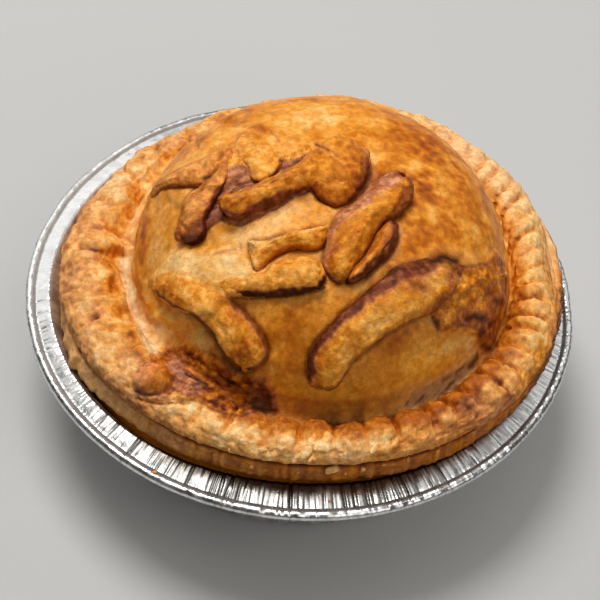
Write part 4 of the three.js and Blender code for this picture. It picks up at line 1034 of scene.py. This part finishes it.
def build_strip(name, spec, seed):
    pa, pb = spline(spec["a"], 200), spline(spec["b"], 200)
    mm = np.linalg.norm(np.diff((pa + pb) / 2, axis=0), axis=1).sum() / 4.0
    nu = int(np.clip(mm / 0.34, 50, 170))
    # stations crowd towards the tips so that the ends are round
    s = np.linspace(0, math.pi, nu)
    s = lerp((1 - np.cos(s)) / 2, np.linspace(0, 1, nu), 0.5)
    s = 0.003 + 0.994 * s
    at = lambda line: np.stack([np.interp(s, np.linspace(0, 1, len(line)), line[:, k]) for k in range(2)], 1)
    along = lambda key: np.interp(s, np.linspace(0, 1, len(spec[key])), spec[key])
    pa, pb = at(pa), at(pb)
    h, fa, fb = spec["h"], along("fa"), along("fb")
    hs = along("hs") if "hs" in spec else np.ones(nu)
    nx, nb = NX, NB
    phi = np.linspace(0, math.pi, nx)
    x_top = lerp(-np.cos(phi), np.linspace(-1, 1, nx), 0.25)
    x_bot = np.linspace(1, -1, nb + 2)[1:-1]
    x = np.r_[x_top, x_bot]
    m = len(x)
    # move the foot lines until the raised strip keeps to its drawn outline
    ring = np.concatenate([pa, pb[::-1]])
    area = (ring[:, 0] * np.roll(ring[:, 1], -1) - np.roll(ring[:, 0], -1) * ring[:, 1]).sum()
    out_a = unit(np.stack([np.gradient(pa[:, 1]), -np.gradient(pa[:, 0])], 1)) * np.sign(area)
    out_b = unit(np.stack([-np.gradient(pb[:, 1]), np.gradient(pb[:, 0])], 1)) * np.sign(area)
    wide = np.linalg.norm(pa - pb, axis=1)
    # at the tips both lines draw back together
    tip = 1 - smooth(np.minimum(s, 1 - s), 0.0, 0.12)
    both = unit(out_a + out_b)
    out_a, out_b = unit(lerp(out_a, both, tip[:, None])), unit(lerp(out_b, both, tip[:, None]))
    in_a, in_b = np.zeros(nu), np.zeros(nu)
    ker = np.array([1, 2, 3, 4, 3, 2, 1]) / 16.0
    for turn in range(7):
        A, B = cast(pa - out_a * in_a[:, None], 0.0), cast(pb - out_b * in_b[:, None], 0.0)
        p = raise_strip(spec, A, B, fa, fb, hs, x_top, nx)[0]
        if turn == 6:
            break
        uu, vv = project(p.reshape(-1, 3))
        uu, vv = uu.reshape(nu, nx), vv.reshape(nu, nx)
        for want, way, shift, soft in ((pa, out_a, in_a, fa), (pb, out_b, in_b, fb)):
            over = ((uu - want[:, :1]) * way[:, :1] + (vv - want[:, 1:]) * way[:, 1:]).max(1) * (1 - soft)
            shift += 0.7 * np.convolve(np.pad(over, 3, mode="edge"), ker, "valid")
            np.clip(shift, -8.0 + 6.5 * tip, np.maximum(np.minimum(0.40 * wide, 16.0), 11.0 * tip), out=shift)
    p, prof, nn, mid, width, side_f, is_top = raise_strip(spec, A, B, fa, fb, hs, x, nx)
    nrm = grid_normals(p)
    flat, fn = p.reshape(-1, 3), nrm.reshape(-1, 3)
    pf = np.where(is_top, prof, 0).ravel()
    vol = (np.cross(np.roll(p, -1, 1)[:-1] - p[:-1], p[1:] - p[:-1]) * nn[:-1])[:, : nx - 1].sum()
    if vol < 0:
        fn = -fn
    tops = smooth(pf, 0.02, 0.5)
    d = tops * (0.22 * fbm(flat, 5.0, seed, 2) + 0.10 * fbm(flat, 2.0, seed + 3, 2) + 0.07 * fbm(flat, 0.8, seed + 5, 2))
    d -= 0.16 * tops * smooth(ridged(flat, 3.0, seed + 6, 2), 0.55, 0.85)
    # fine grain drawn out along the strip
    run = np.r_[0, np.cumsum(np.linalg.norm(np.diff(mid, axis=0), axis=1))]
    local = np.stack([np.repeat(run / 5.0, m), (x[None, :] * width[:, None] / 2).ravel() / 0.9, np.full(nu * m, 0.37)], -1)
    grain = fbm(local, 1.0, seed + 13, 3)
    d += tops * (0.16 * grain + 0.30 * noise(np.repeat(np.c_[run, 0 * run, 0 * run], m, 0), 6.0, seed + 15))
    su, sv = project(flat)
    su, sv = su + 0.9 * noise(flat, 1.5, seed + 19), sv + 0.9 * noise(flat, 1.5, seed + 20)
    for pts, w, amt in MARKS:
        d += amt * tops * np.exp(-((seg_dist(su, sv, pts) / w) ** 2))
    flat = flat + fn * d[:, None]
    g = flat.reshape(nu, m, 3)
    n2 = grid_normals(g).reshape(-1, 3) * (-1 if vol < 0 else 1)
    # colour
    mid_n, fine_n = fbm(flat, 2.6, seed + 9, 3), fbm(flat, 0.9, seed + 11, 2)
    # The pale flecks are the crust's grain and painted glints.
    bake = 0.46 + spec.get("bk", 0.0) + 0.08 * fbm(flat, 6.0, seed + 8, 2) + 0.07 * mid_n + 0.09 * fine_n - 0.06 * smooth(fbm(flat, 0.7, seed + 23, 2), 0.35, 0.8)
    crisp = (1 - side_f + 0 * prof).ravel()
    # The lower side of each strip is turned from the light, so the painted shade at its foot is full there and half on
    # the other side.
    shade_side = np.where(np.tile(x, nu) > 0, 1.0, 0.5)
    # Painted shade at the foot of each crisp side; the crest is painted paler, a painted highlight on top.
    foot_shade = (1 - smooth(pf, 0.12, 0.80)) * crisp * shade_side * np.repeat(along("seat_stain_and_shade") if "seat_stain_and_shade" in spec else np.ones(nu), m)
    bake += 0.20 * foot_shade - 0.05 * smooth(pf, 0.85, 1.0) + 0.07 * grain
    stain, dark = np.zeros(len(flat)), np.zeros(len(flat))
    rag, spot = fbm(flat, 2.2, seed + 17, 3), fbm(flat, 1.1, seed + 21, 2)
    crisp_a, crisp_b = np.repeat(smooth(1 - fa, 0.05, 0.5), m), np.repeat(smooth(1 - fb, 0.05, 0.5), m)
    for key, line, hard in (("sa", pa, crisp_a), ("sb", pb, crisp_b)):
        if key in spec:
            much, deep, px = spec[key]
            px = np.repeat(np.interp(s, np.linspace(0, 1, np.size(px)), np.atleast_1d(px)), m)
            away = seg_dist(su, sv, line[::3]) + (2.2 * rag + 1.2 * grain) * np.minimum(1.0, px / 6.0)
            k = (1 - smooth(away, px * 0.70, px * 1.25)) * hard
            stain = np.maximum(stain, much * k)
            dark = np.maximum(dark, np.clip(deep + 0.14 * rag + 0.20 * spot + 0.10 * (1 - smooth(away, 0.0, px)), 0, 1) * k)
    if "wash" in spec:
        stain, dark = np.maximum(stain, spec["wash"][0]), np.maximum(dark, spec["wash"][1])
    # The very foot of each crisp side is stained dark: gravy stain and painted shade in the crease, strongest on the
    # lower side.
    seat_stain_and_shade = (1 - smooth(pf, 0.02, 0.28)) * crisp * shade_side
    if "seat_stain_and_shade" in spec:
        seat_stain_and_shade = seat_stain_and_shade * np.repeat(along("seat_stain_and_shade"), m)
    stain, dark = np.maximum(stain, 0.65 * seat_stain_and_shade), np.maximum(dark, 0.85 * seat_stain_and_shade)
    tint = paint(flat, n2, bake, stain, dark, lid=False)
    gloss = np.full(len(flat), 0.36) + 0.2 * mid_n
    idx = np.arange(nu * m).reshape(nu, m)
    a, b = idx[:-1], idx[1:]
    quads = np.stack([a, np.roll(a, -1, 1), np.roll(b, -1, 1), b], -1).reshape(-1, 4)
    c0, c1 = nu * m, nu * m + 1
    verts = np.concatenate([flat, [g[0].mean(0)], [g[-1].mean(0)]])
    tint = np.concatenate([tint, [tint[:m].mean(0)], [tint[-m:].mean(0)]])
    gloss = np.r_[gloss, 0.3, 0.3]
    tris = np.concatenate([
        np.stack([np.full(m, c0), np.roll(idx[0], -1), idx[0]], 1),
        np.stack([np.full(m, c1), idx[-1], np.roll(idx[-1], -1)], 1)])
    # faces point out whichever way the sides run
    if vol < 0:
        quads, tris = quads[:, ::-1], tris[:, ::-1]
    return make_piece(name.replace("pastry_strip", "strip"), verts, quads, tris, tint, {"gloss": gloss, "grit": np.clip(0.30 + 0.5 * stain[np.r_[:len(flat), 0, 0]] * 0.6, 0, 1)})


# ------------------------------------------------------------------ the tin
def build_tin():
    n = 2160
    th = np.arange(n) / n * 2 * math.pi - math.pi
    c, s = np.cos(th), np.sin(th)
    deg = np.degrees(th)
    rng = np.random.default_rng(21)
    k = 400
    at = (np.arange(k) + rng.uniform(-0.45, 0.45, k)) * 360 / k - 180
    depth = rng.uniform(0.1, 1.0, k) ** 1.5
    wide = rng.uniform(0.10, 0.34, k)
    skew = rng.normal(0, 0.35, k)
    lift = rng.uniform(-0.5, 0.9, k)
    inner = rng.uniform(0.4, 1.0, k)
    outer = rng.uniform(0.3, 1.0, k)
    strong = 0.34 + 0.95 * hump(deg, -75, 65) + 0.55 * hump(deg, 0, 50) - 0.22 * hump(deg, 175, 50) - 0.20 * hump(deg, 128, 34)
    pleat_in, pleat_out = np.zeros(n), np.zeros(n)
    for a, dp, w, up, i_, o_, sk in zip(at, depth, wide, lift, inner, outer, skew):
        for pleat, much, turn in ((pleat_in, i_, 0.0), (pleat_out, o_, sk)):
            d = (deg - a - turn + 180) % 360 - 180
            pleat += much * dp * (np.exp(-((d / w) ** 2)) - 0.5 * up * np.exp(-(((d - 1.7 * w) / (1.2 * w)) ** 2)))
    ring = np.stack([c, s, 0 * c], -1) * 60
    wob = noise(ring, 16.0, 3)
    crk = noise(ring, 2.0, 4)
    crk2 = noise(ring, 5.0, 5)
    crk3 = noise(ring, 1.0, 6)
    flute = np.cos(th * 72 + 0.5 * wob)
    # r, z, and how far it follows: pleats inside and outside, flutes of the wall, crinkles of the bead
    prof = [(24, 0.25, 0, 0, 0, 0), (42.6, 0.25, 0, 0, 0, 0), (44.0, 0.7, 0, 0, 0.3, 0), (45.0, 2.0, 0, 0, 1, 0)]
    for t in (0.3, 0.6, 0.85, 1.0):
        prof.append((lerp(45.0, 54.4, t), lerp(2.0, 27.6, t), 0.5 * t * t, 0, 1 - 0.5 * t, 0))
    prof += [(55.0, 28.7, 0.7, 0, 0.4, 0), (55.6, 29.6, 0.9, 0, 0.3, 0), (56.2, 30.42, 1.0, 0.0, 0, 0)]
    for t in np.linspace(0, 1, 8)[1:]:
        prof.append((lerp(56.2, 59.9, t), 30.44 - 1.02 * t + 0.3 * t * (1 - t), 1 - t, t, 0, 0.1 * t))
    prof += [(60.3, 29.36, 0, 0.4, 0, 0.4)]
    for a in np.radians([138, 118, 98, 75, 50, 25, 0, -30, -60, -90, -125, -155]):
        prof.append((61.3 + 1.15 * math.cos(a), 28.82 + 1.15 * math.sin(a), 0, 0.30 * max(0, -math.cos(a)) + 0.22 * max(0, math.sin(a)), 0, 1))
    prof += [(59.8, 28.42, 0, 0.8, 0, 0.1), (58.2, 29.42, 0.5, 0.5, 0, 0), (56.35, 30.12, 1, 0.0, 0, 0), (55.8, 29.3, 0.9, 0, 0.3, 0), (55.3, 28.5, 0.7, 0, 0.4, 0)]
    for t in (1.0, 0.85, 0.6, 0.3, 0.0):
        prof.append((lerp(45.35, 54.72, t), lerp(1.9, 27.45, t), 0.5 * t * t, 0, 1 - 0.5 * t, 0))
    prof += [(44.3, 0.45, 0, 0, 0.3, 0), (42.9, 0.0, 0, 0, 0, 0), (24, 0.0, 0, 0, 0, 0)]
    rows = []
    for r, z, pi_, po_, fl_, bd in prof:
        bd = bd * np.clip(0.25 + 0.75 * strong, 0, 1.2)
        rr = r - 1.9 * (pi_ if z > 29 else 0) * min(max((r - 55) / 1.2, 0), 1) * hump(deg, -84, 36) + 0.65 * pi_ * hump(deg, 185, 55) + fl_ * (0.16 + 0.16 * flute) + bd * (0.10 * crk2 + 0.09 * crk + 0.05 * crk3) - 0.08 * po_ * pleat_out * strong
        zz = z - 0.40 * strong * (pi_ * pleat_in + po_ * pleat_out) + 0.25 * (pi_ + po_ + bd > 0) * wob + 0.05 * (pi_ + po_) * crk2 + bd * (0.16 * crk + 0.12 * crk2 + 0.09 * crk3) + 0.06 * (pi_ + po_) * crk
        rows.append(np.stack([rr * c, rr * s, np.maximum(zz, 0.0)], -1))
    g = np.array(rows)
    nl = len(g)
    tint, metal = np.ones((nl, n, 3)), np.ones((nl, n))
    for k, (r, z, *_) in enumerate(prof):
        # The inner wall is tinted brown and made less metallic towards the rim: a painted reflection of the crust.
        if k < nl // 2 and z > 14 and r < 56.1:
            tint[k] = lerp(np.ones(3), np.array([0.66, 0.42, 0.25]), 0.9 * smooth(z, 14, 26)) * (0.8 + 0.3 * crk2 + 0.2 * crk3)[:, None]
            metal[k] = 1 - 0.75 * smooth(z, 14, 26)
        if k < nl // 2 and r > 56.1 and z > 28.8:
            metal[k] = 1 - 0.6 * hump(deg, 142, 38)
        # On the flange in front: a painted reflection of the pie, dark grey near it and paler further out, and painted
        # shade in the pleats.
        if k < nl // 2 and 56.1 < r < 60.0 and z > 29:
            w = hump(deg, -112, 40)
            near = lerp(lerp(np.array([0.24, 0.21, 0.19]), np.array([0.10, 0.087, 0.075]), w[:, None]), lerp(np.array([0.72, 0.71, 0.70]), np.array([0.24, 0.235, 0.23]), w[:, None]), smooth(r + 0.5 * crk + 0.5 * crk2, 56.9 + 0.4 * w, 58.6 + 0.5 * w)[:, None])
            tint[k] = lerp(tint[k], near, np.clip(1.15 * hump(deg, -88, 66), 0, 1)[:, None])
            tint[k] *= (1 - 0.62 * np.clip(pleat_in * (r < 58) + pleat_out * (r >= 58), 0, 1) * np.clip(strong, 0, 1))[:, None]
        # The groove between the flange and the bead is painted dark grey, darkest in front: painted shade in the
        # groove.
        if k < nl // 2 and 60.0 < r < 60.8 and z < 29.9:
            tint[k], metal[k] = lerp(np.array([0.12, 0.12, 0.125]), np.array([0.46, 0.44, 0.42]), hump(deg, 158, 75)[:, None]), 0.0
        # Painted shade in the pleats and crinkles of the bead and the outer side.
        if 60.35 < r:
            tint[k] *= (1 - 0.5 * np.clip(pleat_out, 0, 1) * np.clip(strong, 0, 1) - 0.25 * np.clip(crk, 0, 1) * np.clip(strong, 0, 1))[:, None]
    flat, fn = g.reshape(-1, 3), grid_normals(g).reshape(-1, 3)
    SURFACE["tin"] = (flat, np.where(facing(flat, fn)[:, None] < 0, -fn, fn))
    idx = np.arange(nl * n).reshape(nl, n)
    a, b = idx[:-1], idx[1:]
    # the outline runs up the inside, over the bead and down the outside
    quads = np.stack([a, np.roll(a, -1, 1), np.roll(b, -1, 1), b], -1).reshape(-1, 4)
    verts = np.concatenate([g.reshape(-1, 3), [[0, 0, 0.25]], [[0, 0, 0.0]]])
    tris = np.concatenate([
        np.stack([np.full(n, nl * n), np.roll(idx[0], -1), idx[0]], 1),
        np.stack([np.full(n, nl * n + 1), idx[-1], np.roll(idx[-1], -1)], 1)])
    f = np.concatenate([quads[:, :3], quads[:, [0, 2, 3]], tris])
    if (np.cross(verts[f[:, 0]], verts[f[:, 1]]) * verts[f[:, 2]]).sum() < 0:
        quads, tris = quads[:, ::-1], tris[:, ::-1]
    tint = np.concatenate([tint.reshape(-1, 3), np.ones((2, 3))])
    return make_piece("tin_foil", verts, quads, tris, tint, {"metal": np.r_[metal.ravel(), 1.0, 1.0]})


# ------------------------------------------------------------------ crumbs and torn shreds
# Each: where it shows, what carries it, half length, half width, half thickness, turn, how far it stands up, bake.
CRUMBS = [
    (335, 471, "pie", 1.5, 0.8, 0.35, 20, 0.2, 0.20), (366, 469, "pie", 0.7, 0.6, 0.4, 60, 0.2, 0.22), (300, 474, "pie", 0.45, 0.35, 0.3, 0, 0.2, 0.35), (250, 468, "pie", 0.5, 0.4, 0.3, 40, 0.2, 0.30),
    (410, 460, "pie", 0.6, 0.4, 0.3, 80, 0.2, 0.30), (214, 456, "pie", 0.5, 0.35, 0.3, 10, 0.2, 0.40), (182, 444, "pie", 0.5, 0.4, 0.3, 70, 0.2, 0.35), (345, 476, "pie", 0.4, 0.3, 0.25, 30, 0.2, 0.25),
    (386, 466, "pie", 0.45, 0.3, 0.25, 0, 0.2, 0.35), (440, 450, "pie", 0.5, 0.4, 0.3, 15, 0.2, 0.35), (310, 461, "pie", 0.6, 0.4, 0.25, 50, 0.3, 0.15), (228, 452, "pie", 0.6, 0.35, 0.25, 120, 0.3, 0.20),
    (306, 451, "pie", 1.7, 0.9, 0.30, 75, 0.35, 0.12), (298, 455, "pie", 1.0, 0.6, 0.25, 20, 0.4, 0.18), (318, 447, "pie", 0.9, 0.5, 0.25, 100, 0.4, 0.15), (376, 446, "pie", 1.2, 0.6, 0.25, 60, 0.4, 0.15), (264, 447, "pie", 0.9, 0.5, 0.22, 30, 0.4, 0.2),
    (153, 470, "tin", 0.55, 0.45, 0.35, 0, 0.3, 0.34), (331, 498, "tin", 0.35, 0.25, 0.25, 60, 0.3, 0.25),
]


def build_crumbs():
    lat = np.linspace(0, math.pi, 9)[1:-1]
    lon = np.arange(12) / 12 * 2 * math.pi
    ball = np.stack([np.sin(lat)[:, None] * np.cos(lon), np.sin(lat)[:, None] * np.sin(lon), np.cos(lat)[:, None] + 0 * lon], -1).reshape(-1, 3)
    ball = np.concatenate([ball, [[0, 0, 1.0]], [[0, 0, -1.0]]])
    idx = np.arange(len(lat) * 12).reshape(len(lat), 12)
    a, b = idx[:-1], idx[1:]
    quads = np.stack([a, b, np.roll(b, -1, 1), np.roll(a, -1, 1)], -1).reshape(-1, 4)
    top, low = len(ball) - 2, len(ball) - 1
    tris = np.concatenate([np.stack([np.full(12, top), idx[0], np.roll(idx[0], -1)], 1), np.stack([np.full(12, low), np.roll(idx[-1], -1), idx[-1]], 1)])
    verts, tints, qs, ts = [], [], [], []
    for k, (x, y, on, ln, wd, th, turn, up, bake) in enumerate(CRUMBS):
        p, n = SURFACE[on]
        u, v = project(p)
        away = np.hypot(u - x, v - y)
        seen = np.flatnonzero((away < max(3.0, away.min() + 0.5)) & (facing(p, n) > 0.05))
        at = seen[np.argmin(np.linalg.norm(p[seen] - EYE, axis=1))]
        o, z = p[at], unit(n[at])
        ax = unit(np.cross(z, np.array([0.0, 0.0, 1.0]) + 0.01))
        ay = np.cross(z, ax)
        c, s = math.cos(math.radians(turn)), math.sin(math.radians(turn))
        ax, ay = ax * c + ay * s, ay * c - ax * s
        ax = unit(ax + z * up)
        az = unit(z - ax * (z @ ax))
        shape = ball * (1 + 0.45 * noise(ball + 7.3 * k, 0.8, 300 + k))[:, None]
        body = o + (shape[:, :1] + up) * ln * ax + shape[:, 1:2] * wd * ay + (shape[:, 2:] + 0.25) * th * az
        col = ramp(bake + 0.12 * noise(ball + 3.1 * k, 0.6, 400 + k), BAKE_AT, BAKE_RGB)
        qs.append(quads + k * len(ball))
        ts.append(tris + k * len(ball))
        verts.append(body)
        tints.append(col)
    verts = np.concatenate(verts)
    return make_piece("crumbs", verts, np.concatenate(qs), np.concatenate(ts), np.concatenate(tints), {"gloss": np.full(len(verts), 0.2), "grit": np.full(len(verts), 0.3)})


PIE = place(build_pie(), CRUST, "crust", "pie")
for k, (key, spec) in enumerate(STRIPS.items()):
    place(build_strip(key, spec, 200 + 20 * k), STRIP, "strip_pastry", key)
TIN = place(build_tin(), FOIL, "foil", "foil_tin")
place(build_crumbs(), CRUST, "crust")

# ------------------------------------------------------------------ floor, light, camera
fl = bpy.data.meshes.new("floor")
S = 3.0
fl.from_pydata([(-S, -S, 0), (S, -S, 0), (S, S, 0), (-S, S, 0)], [], [(0, 1, 2, 3)])
floor = bpy.data.objects.new("floor", fl)
bpy.context.scene.collection.objects.link(floor)
fm = bpy.data.materials.new("floor")
fm.use_nodes = True
fb = fm.node_tree.nodes["Principled BSDF"]
fb.inputs["Base Color"].default_value = (0.50, 0.495, 0.485, 1)
fb.inputs["Roughness"].default_value = 0.75
fl.materials.append(fm)


def area_light(name, towards, dist, size, watts, colour):
    d = unit(np.array(towards, float))
    at = np.array([0.0, 0.0, 0.04]) + d * dist
    li = bpy.data.lights.new(name, "AREA")
    li.shape = "DISK"
    li.size = size
    li.energy = watts
    li.color = colour
    ob = bpy.data.objects.new(name, li)
    bpy.context.scene.collection.objects.link(ob)
    x = unit(np.cross(np.array([0.0, 0.0, 1.0]), d))
    y = np.cross(d, x)
    ob.matrix_world = Matrix([[x[0], y[0], d[0], at[0]], [x[1], y[1], d[1], at[1]], [x[2], y[2], d[2], at[2]], [0, 0, 0, 1]])
    return ob


area_light("key", (-0.20, 0.24, 0.95), 0.95, 0.46, 6.9, (1.0, 0.985, 0.96))
area_light("back", (-0.57, 0.66, 0.49), 1.0, 0.85, 2.1, (1.0, 0.99, 0.97))
area_light("fill", (0.50, -0.58, 0.66), 1.2, 1.0, 3.6, (1.0, 0.98, 0.95))
area_light("top", (0.06, -0.10, 1.0), 1.0, 0.8, 1.7, (1.0, 0.99, 0.97))
area_light("side", (0.50, 0.64, 0.58), 1.0, 0.8, 1.4, (1.0, 0.99, 0.97))

world = bpy.context.scene.world or bpy.data.worlds.new("studio")
bpy.context.scene.world = world
world.use_nodes = True
bg = world.node_tree.nodes.get("Background") or world.node_tree.nodes.new("ShaderNodeBackground")
bg.inputs[0].default_value = (0.95, 0.97, 1.0, 1)
bg.inputs[1].default_value = 0.07

cd = bpy.data.cameras.new("camera")
cam = bpy.data.objects.new("camera", cd)
bpy.context.scene.collection.objects.link(cam)
cd.sensor_width = 36.0
cd.lens = FPX * 36.0 / 600.0
cd.clip_start, cd.clip_end = 0.01, 20.0
e = EYE * 0.001
cam.matrix_world = Matrix([[RIGHT[0], UP[0], BACK[0], e[0]], [RIGHT[1], UP[1], BACK[1], e[1]], [RIGHT[2], UP[2], BACK[2], e[2]], [0, 0, 0, 1]])
bpy.context.scene.camera = cam
bpy.context.scene.view_settings.view_transform = "Standard"
